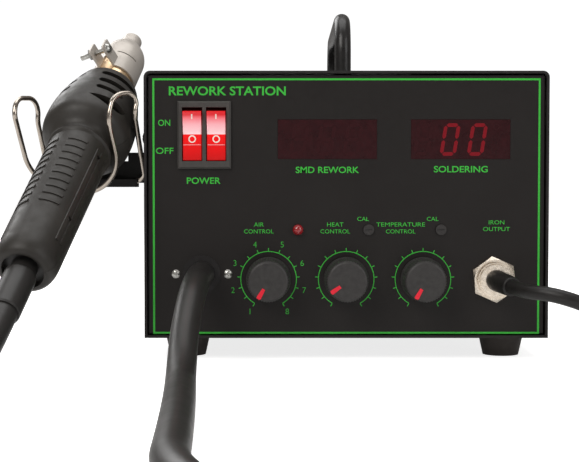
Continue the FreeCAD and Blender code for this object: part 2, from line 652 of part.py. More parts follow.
# --- small things on the panel ----------------------------------------------------------------
def led_lamp():
    dome = Part.makeSphere(LED_RADIUS, V(LED_X, -0.9, LED_Z))
    front = dome.common(box((LED_X - 4, -6, LED_Z - 4), (LED_X + 4, -0.9, LED_Z + 4)))
    stem = rod(LED_RADIUS, (LED_X, -0.9, LED_Z), (LED_X, 5.0, LED_Z))
    return together([front, stem])


def cal_plug(x):
    """A small cap over a trimmer's hole, with a shallow slot across its face."""
    head = rod(CAL_RADIUS, (x, -1.0, CAL_Z), (x, 0.0, CAL_Z))
    stem = rod(CAL_RADIUS - 0.35, (x, -0.1, CAL_Z), (x, 4.0, CAL_Z))
    plug = together([head, stem])
    return plug.cut(box((x - 1.7, -1.6, CAL_Z - 0.25), (x + 1.7, -0.6, CAL_Z + 0.25)))


def hose_gland():
    """A bush through the panel with a thin flange behind it."""
    sleeve = rod(PORT_RADIUS, (PORT_X, -0.5, PORT_Z), (PORT_X, 14.0, PORT_Z))
    flange = box((PORT_X - 15.5, PANEL_THICKNESS, PORT_Z - 9.5), (PORT_X + 15.5, 4.5, PORT_Z + 9.5))
    gland = together([sleeve, flange])
    cuts = [rod(HOSE_RADIUS, (PORT_X, -2, PORT_Z), (PORT_X, 8, PORT_Z)),
            rod(4.0, (PORT_X, 7, PORT_Z), (PORT_X, 15, PORT_Z))]
    cuts += [hole(x, PORT_Z, PORT_SCREW_RADIUS + 0.05) for x in PORT_SCREW_X]
    return less(gland, cuts)


def gland_screws():
    return group([round_screw(2.05, 0.9, PORT_SCREW_RADIUS, 7.0, (x, 0, PORT_Z), (0, -1, 0))
                  for x in PORT_SCREW_X])


# --- iron's connector -------------------------------------------------------------------------
def iron_socket():
    """A threaded chassis socket: barrel, flange behind the panel, insulator and pins."""
    barrel = ring(SOCKET_RADIUS, 6.6, (SOCKET_X, -6.0, SOCKET_Z), (SOCKET_X, 9.0, SOCKET_Z))
    flange = ring(10.5, 6.6, (SOCKET_X, PANEL_THICKNESS, SOCKET_Z), (SOCKET_X, 3.8, SOCKET_Z))
    insulator = rod(6.7, (SOCKET_X, 2.0, SOCKET_Z), (SOCKET_X, 9.0, SOCKET_Z))
    pins = []
    for i in range(5):
        angle = math.radians(72.0 * i)
        x, z = SOCKET_X + 3.6 * math.cos(angle), SOCKET_Z + 3.6 * math.sin(angle)
        pins.append(rod(0.6, (x, 8.9, z), (x, 14.0, z)))
    threads = [ring(SOCKET_RADIUS + 0.5, SOCKET_RADIUS - 0.5, (SOCKET_X, -3.7 - 0.9 * i, SOCKET_Z),
                    (SOCKET_X, -3.3 - 0.9 * i, SOCKET_Z)) for i in range(3)]
    socket = together([barrel, flange, insulator] + pins)
    return less(socket, threads)


def socket_nut():
    nut = hexagon(NUT_FLATS, 3.0, (SOCKET_X, -3.1, SOCKET_Z), (0, 1, 0))
    nut.rotate(V(SOCKET_X, 0, SOCKET_Z), V(0, 1, 0), 90.0 - NUT_TURN)
    reach = NUT_FLATS / math.sqrt(3.0)
    bevel = Part.makeCone(NUT_FLATS / 2 - 0.1, reach + 2.2, 3.4, V(SOCKET_X, -3.1, SOCKET_Z), V(0, 1, 0))
    nut = nut.common(bevel)
    return nut.cut(rod(SOCKET_RADIUS, (SOCKET_X, -5, SOCKET_Z), (SOCKET_X, 1, SOCKET_Z)))


def iron_plug():
    """The plug's metal shell and locking ring, screwed on the socket."""
    lock = ring(6.5, 4.4, (SOCKET_X, PLUG_FRONT + 0.6, SOCKET_Z), (SOCKET_X, 1.9, SOCKET_Z))
    rim = ring(7.3, 4.4, (SOCKET_X, PLUG_FRONT, SOCKET_Z), (SOCKET_X, -6.1, SOCKET_Z))
    core = rod(4.5, (SOCKET_X, -4.0, SOCKET_Z), (SOCKET_X, 1.9, SOCKET_Z))
    return together([lock, rim, core])


def boot_start():
    return V(SOCKET_X, -4.1, SOCKET_Z)


def boot_end():
    return V(SOCKET_X, PLUG_FRONT, SOCKET_Z) + BOOT_AXIS * BOOT_LENGTH


def plug_boot():
    """The rubber boot: a stub in the shell, then a tapered nose that leans with the cord."""
    stub = rod(4.35, boot_start(), (SOCKET_X, PLUG_FRONT, SOCKET_Z))
    nose = turned([(-1.6, 4.35), [(0.5, 5.0), (2.0, 4.9), (4.0, 4.85)], (BOOT_LENGTH - 3.5, 4.6),
                   [(BOOT_LENGTH - 1.2, 4.5), (BOOT_LENGTH, 4.4), (BOOT_LENGTH, 3.6)]],
                  (SOCKET_X, PLUG_FRONT, SOCKET_Z), BOOT_AXIS)
    boot = together([stub, nose])
    return boot.cut(placed(Part.makeCylinder(CORD_RADIUS, 6.0), boot_end(), BOOT_AXIS * -1))


# --- inside the case --------------------------------------------------------------------------
def transformer_core():
    """Stacked laminations with a mounting foot."""
    x, y = TRANSFORMER
    core = box((x - 28, y - 20, FLOOR_IN + 1.5), (x + 28, y + 20, FLOOR_IN + 61.5))
    windows = [box((x + side * 14 - 6, y - 25, FLOOR_IN + 12), (x + side * 14 + 6, y + 25, FLOOR_IN + 51))
               for side in (-1, 1)]
    foot = box((x - 34, y - 22, FLOOR_IN), (x + 27.9, y + 22, FLOOR_IN + 1.5))
    return together([less(core, windows), foot])


def transformer_winding():
    x, y = TRANSFORMER
    coil = box((x - 19.4, y - 30, FLOOR_IN + 12.4), (x + 19.4, y + 30, FLOOR_IN + 50.6))
    centre = box((x - 8.1, y - 20.1, FLOOR_IN + 8), (x + 8.1, y + 20.1, FLOOR_IN + 56))
    return coil.cut(centre)


def air_pump():
    """A diaphragm pump: motor housing, two heads and an outlet stub."""
    x, y = PUMP
    base = FLOOR_IN + 8.0
    body = box((x - 26, y - 38, base), (x + 26, y + 38, base + 46))
    edges = [e for e in body.Edges if abs(e.tangentAt(e.FirstParameter).y) > 0.9]
    body = body.makeFillet(6.0, edges)
    heads = [rod(19.0, (x, y + side * 37.9, base + 23), (x, y + side * 50, base + 23))
             for side in (-1, 1)]
    ribs = [box((x - 27, y - 30 + 12 * i, base + 8), (x + 27, y - 27 + 12 * i, base + 38))
            for i in range(6)]
    outlet = rod(4.0, (x, y - 49, base + 23), (x, y - 60, base + 23))
    return together([body] + heads + ribs + [outlet])


def pump_mounts():
    x, y = PUMP
    return group([Part.makeCylinder(6.0, 8.0, V(x + dx, y + dy, FLOOR_IN))
                  for dx in (-17, 17) for dy in (-26, 26)])


def pump_tube():
    """The soft tube from the pump's outlet to the gland."""
    x, y = PUMP
    start = V(x, y - 60.1, FLOOR_IN + 31.0)
    route = [start, start + V(0, -16, 0), V(PORT_X, 32.0, PORT_Z), V(PORT_X, 14.1, PORT_Z)]
    return tube_along("pump_tube", route, 3.9)


def main_board():
    board = box((6, 20, BOARD_BOTTOM), (88, 104, BOARD_BOTTOM + BOARD_THICKNESS))
    posts = [rod(3.0, (x, y, FLOOR_IN), (x, y, BOARD_BOTTOM)) for x in (12, 82) for y in (26, 98)]
    return together([board] + posts)


def board_parts():
    """Capacitors, a heat sink, a relay, chips and the two trimmers behind the panel."""
    top = BOARD_BOTTOM + BOARD_THICKNESS
    solids = [Part.makeCylinder(9.0, 28.0, V(70, 88, top)), Part.makeCylinder(6.0, 18.0, V(50, 92, top)),
              box((14, 80, top), (34, 96, top + 16)), box((40, 44, top), (62, 54, top + 5))]
    fins = [box((14 + 5 * i, 54, top), (16 + 5 * i, 72, top + 26)) for i in range(5)]
    solids.append(together([box((14, 54, top), (36, 72, top + 3))] + fins))
    for x in CAL_X.values():
        trimmer = box((x - 4.5, 9.0, CAL_Z - 4.5), (x + 4.5, 14.0, CAL_Z + 4.5))
        solids.append(together([trimmer, rod(1.2, (x, 7.0, CAL_Z), (x, 9.1, CAL_Z))]))
    solids.append(box((2, 14.0, 52.0), (60, 15.6, 70.0)))
    return group(solids)


# --- back of the case -------------------------------------------------------------------------
def mains_inlet():
    """A three-pin appliance inlet with two ears."""
    face = REAR_OUTSIDE
    half_width, half_height = INLET_WIDTH / 2 - 0.1, INLET_HEIGHT / 2 - 0.1
    flange = box((INLET_X - 25, face, INLET_Z - 11.2), (INLET_X + 25, face + 2.5, INLET_Z + 11.2))
    body = box((INLET_X - half_width, face - 17, INLET_Z - half_height),
               (INLET_X + half_width, face + 0.1, INLET_Z + half_height))
    low_x, high_x = INLET_X - half_width + INLET_WALL, INLET_X + half_width - INLET_WALL
    low_z, high_z = INLET_Z - half_height + INLET_WALL, INLET_Z + half_height - INLET_WALL
    mouth = [(low_x, low_z), (high_x, low_z), (high_x, high_z - INLET_CORNER),
             (high_x - INLET_CORNER, high_z), (low_x + INLET_CORNER, high_z), (low_x, high_z - INLET_CORNER)]
    cavity = prism([(x, face + 4, z) for x, z in mouth], (0, -18.5, 0))
    screw_x = (INLET_X - INLET_EAR, INLET_X + INLET_EAR)
    ears = [rod(1.6, (x, face - 1, INLET_Z), (x, face + 4, INLET_Z)) for x in screw_x]
    pins = [box((INLET_X + dx - 1.0, face - 24, INLET_Z + dz - 2.0),
                (INLET_X + dx + 1.0, face - 1.5, INLET_Z + dz + 2.0)) for dx, dz in INLET_PINS]
    housing = less(together([flange, body]), [cavity] + ears + pins)
    screws = [round_screw(2.8, 1.4, 1.55, 7.0, (x, face + 2.5, INLET_Z), (0, 1, 0)) for x in screw_x]
    return group([housing] + pins + screws)


def fuse_holder():
    face = REAR_OUTSIDE
    barrel = ring(FUSE_RADIUS, 4.6, (FUSE_X, face - 26, FUSE_Z), (FUSE_X, face + 0.1, FUSE_Z))
    rim = ring(8.0, 4.6, (FUSE_X, face, FUSE_Z), (FUSE_X, face + 2.2, FUSE_Z))
    cap_end = rod(FUSE_RADIUS, (FUSE_X, face - 28, FUSE_Z), (FUSE_X, face - 26, FUSE_Z))
    return together([barrel, rim, cap_end])


def fuse_cap():
    """The fuse holder's cap, with its slot, carrying the fuse."""
    face = REAR_OUTSIDE
    head = rod(6.4, (FUSE_X, face + 2.6, FUSE_Z), (FUSE_X, face + 9.0, FUSE_Z))
    stem = rod(4.2, (FUSE_X, face - 3.0, FUSE_Z), (FUSE_X, face + 2.7, FUSE_Z))
    slot = box((FUSE_X - 5.0, face + 7.8, FUSE_Z - 0.8), (FUSE_X + 5.0, face + 10, FUSE_Z + 0.8))
    glass = rod(2.6, (FUSE_X, face - 23.0, FUSE_Z), (FUSE_X, face - 2.9, FUSE_Z))
    return together([less(together([head, stem]), [slot]), glass])


# --- cradle -----------------------------------------------------------------------------------
def holder_bracket():
    """An angle plate screwed to the case's side; its lower edge is hooked round the wire."""
    side_x = -HALF_WIDTH
    back = BRACKET_Y + BRACKET_THICKNESS
    hook_x, hook_end = HOOK_X
    shelf = RUN_Z - WIRE_RADIUS
    flange = box((side_x - BRACKET_THICKNESS, BRACKET_Y, BRACKET_LOW), (side_x, 64.0, BRACKET_HIGH))
    plate = box((-104.0, BRACKET_Y, BRACKET_LOW), (side_x, back, BRACKET_HIGH))
    floor = box((hook_x, HOOK_Y, shelf - HOOK_THICKNESS), (hook_end, back, shelf))
    lip = box((hook_x, HOOK_Y, shelf - HOOK_THICKNESS), (hook_end, HOOK_Y + 1.2, RUN_Z + 1.2))
    web = box((hook_x, BRACKET_Y, shelf - HOOK_THICKNESS), (hook_end, back, 92.5))
    bracket = together([flange, plate, floor, lip, web])
    holes = [rod(HOLE_RADIUS, (side_x - 4, y, BRACKET_Z), (side_x + 1, y, BRACKET_Z))
             for y in BRACKET_SCREW_Y]
    return less(bracket, holes)


def holder_screws():
    seat = -HALF_WIDTH - BRACKET_THICKNESS
    return group([round_screw(3.6, 1.8, SCREW_RADIUS, 7.0, (seat, y, BRACKET_Z), (-1, 0, 0))
                  for y in BRACKET_SCREW_Y])


def wire_route():
    """The cradle's wire, from the middle of its back run, round both side loops and the front bow."""
    return [V(-117.5, 23.6, RUN_Z), V(-95.3, 22.6, RUN_Z), V(-97.3, -6.0, 114.2), V(-95.4, -3.0, 123.7),
            V(-105.8, -12.0, 122.5), V(-108.3, -16.5, 111.0),
            gun_point(CRADLE_T, 17.5, -22.8), gun_point(CRADLE_T, -27.0, -22.8),
            V(-151.1, -11.5, 113.0), V(-151.0, -8.0, 120.8), V(-143.4, 8.0, 121.6), V(-144.0, 8.0, 110.6),
            V(-141.2, 24.6, RUN_Z), V(-118.5, 23.6, RUN_Z)]


def holder_wire():
    radii = {1: 6.0, 2: 5.0, 3: 4.4, 4: 9.0, 5: 12.0, 6: 20.5, 7: 20.5, 8: 5.0, 9: 8.0, 10: 7.5,
             11: 8.0, 12: 6.0}
    return tube_along("holder_wire", wire_route(), WIRE_RADIUS, radii)


# --- gun --------------------------------------------------------------------------------------
def grip_ribs():
    """Short cross ribs in two rows on the upper half, and the long double rib along each side."""
    skin = gun_turned(RIB_SKIN)
    solids = []
    for i in range(RIB_COUNT):
        low = RIB_FIRST + RIB_STEP * i
        for row in RIB_ROWS:
            rib = gun_box((low, row - RIB_REACH, 4.0), (low + RIB_WIDTH, row + RIB_REACH, 16.0))
            solids.append(rib.common(skin))
    first, last = LONG_RIB_ENDS
    for side in (-1, 1):
        for up in LONG_RIB_UP:
            low, high = sorted((side * 9.0, side * 16.0))
            solids.append(gun_box((first, low, up), (last, high, up + LONG_RIB_WIDTH)).common(skin))
    return solids


def leaf_opening():
    """A cutter for the leaf-shaped opening on the right of the grip's bulge."""
    inner, outer = 10.0, 30.0
    skin = 20.9
    across = gun_radial(0.0, LEAF_MIDDLE + 90.0, 1.0) - gun_point(0.0)

    def flat(pair):
        along, degrees = pair
        reach = skin * math.tan(math.radians(degrees - LEAF_MIDDLE))
        return gun_radial(along, LEAF_MIDDLE, inner) + across * reach

    edges = []
    for curve in ([LEAF_TIP] + LEAF_FRONT + [LEAF_END], [LEAF_END] + LEAF_REAR + [LEAF_TIP]):
        bezier = Part.BezierCurve()
        bezier.setPoles([flat(pair) for pair in curve])
        edges.append(bezier.toShape())
    face = Part.Face(Part.Wire(edges))
    return face.extrude(gun_radial(0.0, LEAF_MIDDLE, outer) - gun_radial(0.0, LEAF_MIDDLE, inner))


def gun_shell(upper):
    """Half of the moulded handle, split along its sides."""
    outer = gun_turned(GRIP_OUTLINE)
    outer = outer.fuse(Part.makeCompound(grip_ribs()))
    half = gun_box((-5, -40, SHELL_GAP if upper else -40), (160, 40, 40 if upper else -SHELL_GAP))
    shell = outer.cut(gun_turned(GRIP_HOLLOW)).common(half)
    cuts = [gun_hole(along) for along in GUN_SCREW_T]
    if upper:
        cuts.append(leaf_opening())
    return less(shell, cuts)


def gun_screw_place(along, depth):
    """A point in a handle screw's well, between the two long ribs, at a depth below the skin."""
    reach = 13.6 - depth
    return gun_point(along) + GUN_SCREW_AXIS * reach


def gun_hole(along):
    """The well of a handle screw."""
    return Part.makeCylinder(1.15, 8.0, gun_screw_place(along, 4.0), GUN_SCREW_AXIS)


def gun_screws():
    return group([Part.makeCylinder(1.1, 1.2, gun_screw_place(along, 2.1), GUN_SCREW_AXIS)
                  for along in GUN_SCREW_T])


def vent_collar():
    """The front ring of the handle: curved slots through its outer wall, and an inner wall behind them."""
    shell = gun_turned(COLLAR_OUTLINE).cut(gun_turned(COLLAR_HOLLOW))
    inner, outer = COLLAR_WALL
    front, beyond = COLLAR_FRONT
    slots = []
    for low, high, start, end in COLLAR_SLOTS:
        slots.append(gun_slot(low, high, COLLAR_ROLL + start, COLLAR_ROLL + end, outer + 0.1))
        slots.append(gun_slot(low, high, COLLAR_ROLL - end, COLLAR_ROLL - start, outer + 0.1))
    wall = ring(outer, inner, gun_point(COLLAR_WALL_ENDS[0]), gun_point(COLLAR_WALL_ENDS[1]))
    collar = together([less(shell, slots), wall])
    return collar.cut(rod(HEATER_RADIUS + 0.02, gun_point(front - 1.0), gun_point(beyond)))


def heater_tube():
    """The metal tube, with the shoulder that seats behind the collar's front wall."""
    start, end = gun_point(HEATER_START), gun_point(HEATER_END)
    tube = ring(HEATER_RADIUS, HEATER_RADIUS - HEATER_WALL, start, end)
    low, high = HEATER_FLANGE
    shoulder = ring(HEATER_FLANGE_RADIUS, HEATER_RADIUS - 0.1, gun_point(low), gun_point(high))
    return together([tube, shoulder])


def heater_core():
    """The ceramic former inside the tube, with its air channels."""
    low, high = HEATER_CORE_ENDS
    core = rod(HEATER_CORE_RADIUS, gun_point(low), gun_point(high))
    channels = [rod(1.5, gun_radial(low - 1, 60.0 * i, 5.2), gun_radial(high + 1, 60.0 * i, 5.2))
                for i in range(6)]
    return less(core, channels)


def clamp_point(along, across, out):
    """A point in the clamp's frame, which is turned a little about the gun's axis."""
    return gun_point(along) + CLAMP_ACROSS * across + CLAMP_OUT * out


def clamp_ear(across):
    """A flat ear that stands on the nozzle's skirt; its top corners are cut."""
    first, last = CLAMP_ENDS
    root, corner = CLAMP_ROOT, CLAMP_CORNER
    loop = [(first, root), (first, CLAMP_TOP - corner), (first + corner, CLAMP_TOP),
            (last - corner, CLAMP_TOP), (last, CLAMP_TOP - corner), (last, root)]
    return prism([clamp_point(along, across, out) for along, out in loop], CLAMP_ACROSS * CLAMP_THICKNESS)


def nozzle():
    """The outlet: a split skirt on the heater tube, a domed front and a round tip."""
    shell = gun_turned(NOZZLE_OUTLINE).cut(gun_turned(NOZZLE_HOLLOW))
    left, right = CLAMP_EARS
    inner = left + CLAMP_THICKNESS
    low, high = CLAMP_GAP_ENDS
    ears = [clamp_ear(across) for across in CLAMP_EARS]
    corners = ((inner, 6.0), (right, 6.0), (right, 14.0), (inner, 14.0))
    gap = prism([clamp_point(low, across, out) for across, out in corners], GUN_AXIS * (high - low))
    bore = rod(NOZZLE_BORE, gun_point(140.0), gun_point(163.5))
    along, out = CLAMP_SCREW
    screw_hole = rod(CLAMP_SCREW_RADIUS + 0.05, clamp_point(along, left - 5, out),
                     clamp_point(along, right + 5, out))
    slot = gun_slot(*NOZZLE_SLOT, 9.0)
    return less(together([less(shell, [gap, slot])] + ears), [bore, screw_hole])


def clamp_screw():
    """The screw and nut that draw the nozzle's two ears together."""
    left, right = CLAMP_EARS
    along, out = CLAMP_SCREW
    seat = clamp_point(along, right + CLAMP_THICKNESS, out)
    screw = round_screw(2.7, 1.7, CLAMP_SCREW_RADIUS, 15.5, seat, CLAMP_ACROSS)
    nut = hexagon(5.0, 1.8, clamp_point(along, left - 1.8, out), CLAMP_ACROSS, 15.0)
    bore = rod(CLAMP_SCREW_RADIUS, clamp_point(along, left - 3, out), clamp_point(along, left + 1, out))
    nut = nut.cut(bore)
    return group([screw, nut])


def hose_sleeve():
    """The tapered rubber sleeve where the hose leaves the grip, with a lip at the grip's end."""
    sleeve = gun_turned(SLEEVE_OUTLINE)
    return sleeve.cut(rod(HOSE_RADIUS + 0.05, gun_point(-27.0), gun_point(-16.0)))


# --- cords ------------------------------------------------------------------------------------
def coil_points(centre, radius, step, start, turn, count, height):
    """Points of a flat clockwise spiral that runs inwards."""
    points = []
    for i in range(count + 1):
        swept = turn * i / count
        angle = math.radians(start - swept)
        reach = radius - step * swept / 360.0
        points.append(V(centre[0] + reach * math.cos(angle), centre[1] + reach * math.sin(angle),
                        height))
    return points


def hose_route():
    """From the port down to the desk, forward, round a loose coil, and back up into the grip."""
    floor = HOSE_RADIUS
    route = [V(PORT_X, 0.0, PORT_Z), V(-67.6, -33.0, 40.2), V(-70.0, -68.0, 22.0),
             V(-68.9, -103.0, 6.5), V(-66.4, -140.0, floor), V(-63.9, -182.0, floor),
             V(-61.6, -226.0, floor), V(-59.6, -272.0, floor)]
    coil = coil_points(HOSE_COIL_CENTRE, HOSE_COIL_RADIUS, HOSE_COIL_STEP, HOSE_COIL_START,
                       HOSE_COIL_TURN, HOSE_COIL_POINTS, floor)
    coil[-2].z += 4.0
    coil[-1].z += 11.0
    route += coil
    route += [V(-159.0, -362.0, 21.5), V(-157.0, -322.0, 21.5), V(-153.5, -284.0, 10.0),
              V(-150.5, -244.0, floor), V(-152.0, -206.0, floor), V(-150.5, -172.0, floor),
              V(-146.6, -142.0, 6.6), gun_point(-50.0), gun_point(HOSE_END)]
    return route


def air_hose():
    return tube_along("air_hose", hose_route(), HOSE_RADIUS)


def cord_lead():
    """From the boot, round to the right and down to the desk, up to the coil."""
    start = boot_end()
    return [start, start + BOOT_AXIS * 12.0, V(86.0, -45.0, 34.6), V(98.8, -48.4, 31.0),
            V(112.0, -44.0, 25.0), V(123.6, -32.0, 17.0), V(132.6, -13.0, 8.5), V(138.6, 10.0, CORD_RADIUS),
            V(141.6, 35.0, CORD_RADIUS)]


def cord_tail():
    """From the top of the coil back to the iron's rear end."""
    high = 3 * CORD_RADIUS
    return [V(143.0, 66.0, high), V(143.8, 80.0, high), V(147.2, 96.0, high + 1.0),
            V(152.4, 112.0, high + 3.4), IRON_REAR + IRON_AXIS * 2.0]


def iron_cord():
    return group([tube_along("iron_cord lead", cord_lead(), CORD_RADIUS),
                  tube_along("iron_cord tail", cord_tail(), CORD_RADIUS)])


def iron_cord_coil():
    """The outer shape of five turns in two layers."""
    outer = CORD_COIL_OUTER + CORD_RADIUS
    inner = CORD_COIL_OUTER - CORD_COIL_TURNS / 2 * 2 * CORD_RADIUS - CORD_RADIUS
    height = 4 * CORD_RADIUS
    base = V(CORD_COIL_CENTRE[0], CORD_COIL_CENTRE[1], 0)
    coil = Part.makeCylinder(outer, height, base).cut(Part.makeCylinder(inner, height, base))
    rims = [e for e in coil.Edges if e.Curve.TypeId == "Part::GeomCircle"]
    return coil.makeFillet(2.8, rims)


# --- soldering iron ---------------------------------------------------------------------------
def iron_handle():
    outline = [(0.0, 5.4), (12.0, 6.6), [(18.0, 7.2), (17.0, 13.2), (24.0, 13.2)],
               [(31.0, 13.2), (30.0, 11.7), (60.0, 11.6)], [(84.0, 11.5), (96.0, 12.2), (114.0, 13.0)],
               [(120.0, 13.3), (124.0, 13.0), (124.0, 10.8)]]
    handle = turned(outline, IRON_REAR, IRON_AXIS)
    bore = placed(Part.makeCylinder(CORD_RADIUS, 10.0, V(0, 0, -1)), IRON_REAR, IRON_AXIS)
    return handle.cut(bore)


def iron_barrel():
    """The collar nut and the steel barrel over the heater."""
    start = IRON_REAR + IRON_AXIS * 124.0
    outline = [(0.0, 7.6), (9.0, 7.6), (10.0, 7.0), (13.0, 6.4), (13.0, 5.0), (46.0, 5.0), (46.0, 6.2),
               (52.0, 6.2), (53.0, 5.6)]
    barrel = turned(outline, start, IRON_AXIS)
    return barrel.cut(placed(Part.makeCylinder(2.4, 24.0, V(0, 0, 30)), start, IRON_AXIS))


def iron_tip():
    start = IRON_REAR + IRON_AXIS * 160.0
    return turned([(0.0, 2.4), (17.0, 2.4), (17.1, 3.2), (22.0, 3.2), (36.0, 0.35)], start, IRON_AXIS)


# --- all nodes --------------------------------------------------------------------------------
def build():
    nodes = {
        "base_tray": base_tray(), "top_cover": top_cover(), "front_panel": front_panel(),
        "rear_panel": rear_panel(), "feet": feet(), "foot_screws": foot_screws(),
        "cover_screws": cover_screws(), "carry_handle": carry_handle(),
        "handle_fittings": handle_fittings(), "switch_housing": switch_housing(),
        "rocker_left": rocker(ROCKER_X[0]), "rocker_right": rocker(ROCKER_X[1]),
        "air_display_window": display_window(DISPLAY_X[0]),
        "iron_display_window": display_window(DISPLAY_X[1]),
        "display_modules": display_modules(), "display_board": display_board(),
        "potentiometers": potentiometers(), "led_lamp": led_lamp(), "hose_gland": hose_gland(),
        "gland_screws": gland_screws(), "iron_socket": iron_socket(), "socket_nut": socket_nut(),
        "iron_plug": iron_plug(), "plug_boot": plug_boot(), "transformer_core": transformer_core(),
        "transformer_winding": transformer_winding(), "air_pump": air_pump(),
        "pump_mounts": pump_mounts(), "pump_tube": pump_tube(), "main_board": main_board(),
        "board_parts": board_parts(), "mains_inlet": mains_inlet(), "fuse_holder": fuse_holder(),
        "fuse_cap": fuse_cap(), "holder_bracket": holder_bracket(),
        "holder_screws": holder_screws(), "holder_wire": holder_wire(),
        "gun_shell_upper": gun_shell(True), "gun_shell_lower": gun_shell(False),
        "gun_screws": gun_screws(), "vent_collar": vent_collar(), "heater_tube": heater_tube(),
        "heater_core": heater_core(), "nozzle": nozzle(), "clamp_screw": clamp_screw(),
        "hose_sleeve": hose_sleeve(), "air_hose": air_hose(), "iron_cord": iron_cord(),
        "iron_cord_coil": iron_cord_coil(), "iron_handle": iron_handle(),
        "iron_barrel": iron_barrel(), "iron_tip": iron_tip(),
    }
    for name, x in KNOB_X.items():
        nodes[name + "_knob"] = knob(x, KNOB_POINTS[name])
        nodes[name + "_shaft"] = knob_shaft(x)
    for name, x in CAL_X.items():
        nodes[name + "_cal_plug"] = cal_plug(x)
    return nodes


def main():
    os.makedirs("parts", exist_ok=True)
    for name, shape in build().items():
        shape = shape.copy()
        shape.translate(V(*ORIGIN_SHIFT))
        if not shape.isValid():
            print("not valid:", name)
        shape.exportStep("parts/%s.step" % name)


main()
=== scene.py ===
import math

import bmesh
import bpy
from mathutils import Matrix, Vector


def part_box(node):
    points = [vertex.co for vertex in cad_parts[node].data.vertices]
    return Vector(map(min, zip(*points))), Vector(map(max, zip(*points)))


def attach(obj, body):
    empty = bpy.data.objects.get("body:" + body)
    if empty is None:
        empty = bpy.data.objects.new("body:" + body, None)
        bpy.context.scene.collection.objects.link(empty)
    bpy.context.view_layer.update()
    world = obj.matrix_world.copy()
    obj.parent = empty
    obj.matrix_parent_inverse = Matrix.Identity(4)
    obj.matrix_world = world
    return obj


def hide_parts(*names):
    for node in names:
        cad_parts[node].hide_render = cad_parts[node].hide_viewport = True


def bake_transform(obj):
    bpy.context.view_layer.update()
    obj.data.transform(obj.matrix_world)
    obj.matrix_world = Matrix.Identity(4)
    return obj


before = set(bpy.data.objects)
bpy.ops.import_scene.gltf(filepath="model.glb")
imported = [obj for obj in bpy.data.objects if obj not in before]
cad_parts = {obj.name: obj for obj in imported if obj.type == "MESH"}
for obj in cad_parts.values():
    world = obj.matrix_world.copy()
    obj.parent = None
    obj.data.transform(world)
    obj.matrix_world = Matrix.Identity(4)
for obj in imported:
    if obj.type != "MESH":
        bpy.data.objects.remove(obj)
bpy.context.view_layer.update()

# Lengths are millimetres in case coordinates, unless a comment says metres: x to the right from the middle of
# the case, y backwards from the front panel's face, z up from the desk. case() gives the row frame's metres.
MM = 0.001
PANEL_LOW, PANEL_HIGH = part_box("front_panel")
CASE_ORIGIN = Vector(((PANEL_LOW.x + PANEL_HIGH.x) / 2, PANEL_LOW.y, 0.0))


def case(x, y, z):
    """A point in case coordinates, in the row frame's metres."""
    return CASE_ORIGIN + Vector((x, y, z)) * MM


def middle(node):
    """The middle of a CAD node's box, in case coordinates."""
    low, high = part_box(node)
    return ((low + high) / 2 - CASE_ORIGIN) / MM


# --- camera, lights and room --------------------------------------------------------------------
CAMERA_PLACE = case(-26.3, -650.0, 86.0)
CAMERA_DOWN = 2.3              # degrees below level
CAMERA_LENS = 87.3
CAMERA_SENSOR = 36.0
NEAREST_SEEN = 0.01            # metres
LIGHTS_AIM = (0.0, -0.02, 0.06)        # metres in the row frame
LIGHTS = [
    # name, place in the row frame and width and height, all in metres, watts, colour
    ("key_light", (-0.75, -1.05, 1.05), 0.9, 0.9, 13.0, (1.0, 0.975, 0.94)),
    ("fill_light", (1.05, -0.9, 0.65), 0.7, 0.9, 5.0, (1.0, 1.0, 1.0)),
    ("top_light", (0.0, 0.15, 1.35), 1.3, 1.0, 9.0, (1.0, 1.0, 1.0)),
    ("back_light", (-0.7, 1.0, 0.8), 0.8, 0.6, 5.5, (1.0, 1.0, 1.0)),
]
ROOM_COLOUR, ROOM_STRENGTH = (0.92, 0.88, 0.84, 1.0), 0.28
BACKDROP_COLOUR, BACKDROP_STRENGTH = (1.0, 1.0, 1.0, 1.0), 1.05


def make_camera():
    data = bpy.data.cameras.new("camera")
    data.lens = CAMERA_LENS
    data.sensor_width = CAMERA_SENSOR
    data.clip_start = NEAREST_SEEN
    camera = bpy.data.objects.new("camera", data)
    camera.location = CAMERA_PLACE
    camera.rotation_euler = (math.radians(90.0 - CAMERA_DOWN), 0.0, 0.0)
    bpy.context.scene.collection.objects.link(camera)
    bpy.context.scene.camera = camera


def softbox(name, place, width, height, watts, colour):
    """A rectangular lamp that the camera doesn't see."""
    data = bpy.data.lights.new(name, "AREA")
    data.shape = "RECTANGLE"
    data.size, data.size_y = width, height
    data.energy = watts
    data.color = colour
    light = bpy.data.objects.new(name, data)
    light.location = place
    light.rotation_mode = "QUATERNION"
    light.rotation_quaternion = (Vector(LIGHTS_AIM) - Vector(place)).to_track_quat("-Z", "Y")
    light.visible_camera = False
    bpy.context.scene.collection.objects.link(light)


def make_world():
    """White where the camera sees past the object, and a dimmer room in reflections and light."""
    world = bpy.data.worlds.new("studio")
    world.use_nodes = True
    tree = world.node_tree
    tree.nodes.clear()
    room = tree.nodes.new("ShaderNodeBackground")
    room.inputs["Color"].default_value = ROOM_COLOUR
    room.inputs["Strength"].default_value = ROOM_STRENGTH
    backdrop = tree.nodes.new("ShaderNodeBackground")
    backdrop.inputs["Color"].default_value = BACKDROP_COLOUR
    backdrop.inputs["Strength"].default_value = BACKDROP_STRENGTH
    ray = tree.nodes.new("ShaderNodeLightPath")
    mix = tree.nodes.new("ShaderNodeMixShader")
    out = tree.nodes.new("ShaderNodeOutputWorld")
    tree.links.new(ray.outputs["Is Camera Ray"], mix.inputs[0])
    tree.links.new(room.outputs[0], mix.inputs[1])
    tree.links.new(backdrop.outputs[0], mix.inputs[2])
    tree.links.new(mix.outputs[0], out.inputs["Surface"])
    bpy.context.scene.world = world


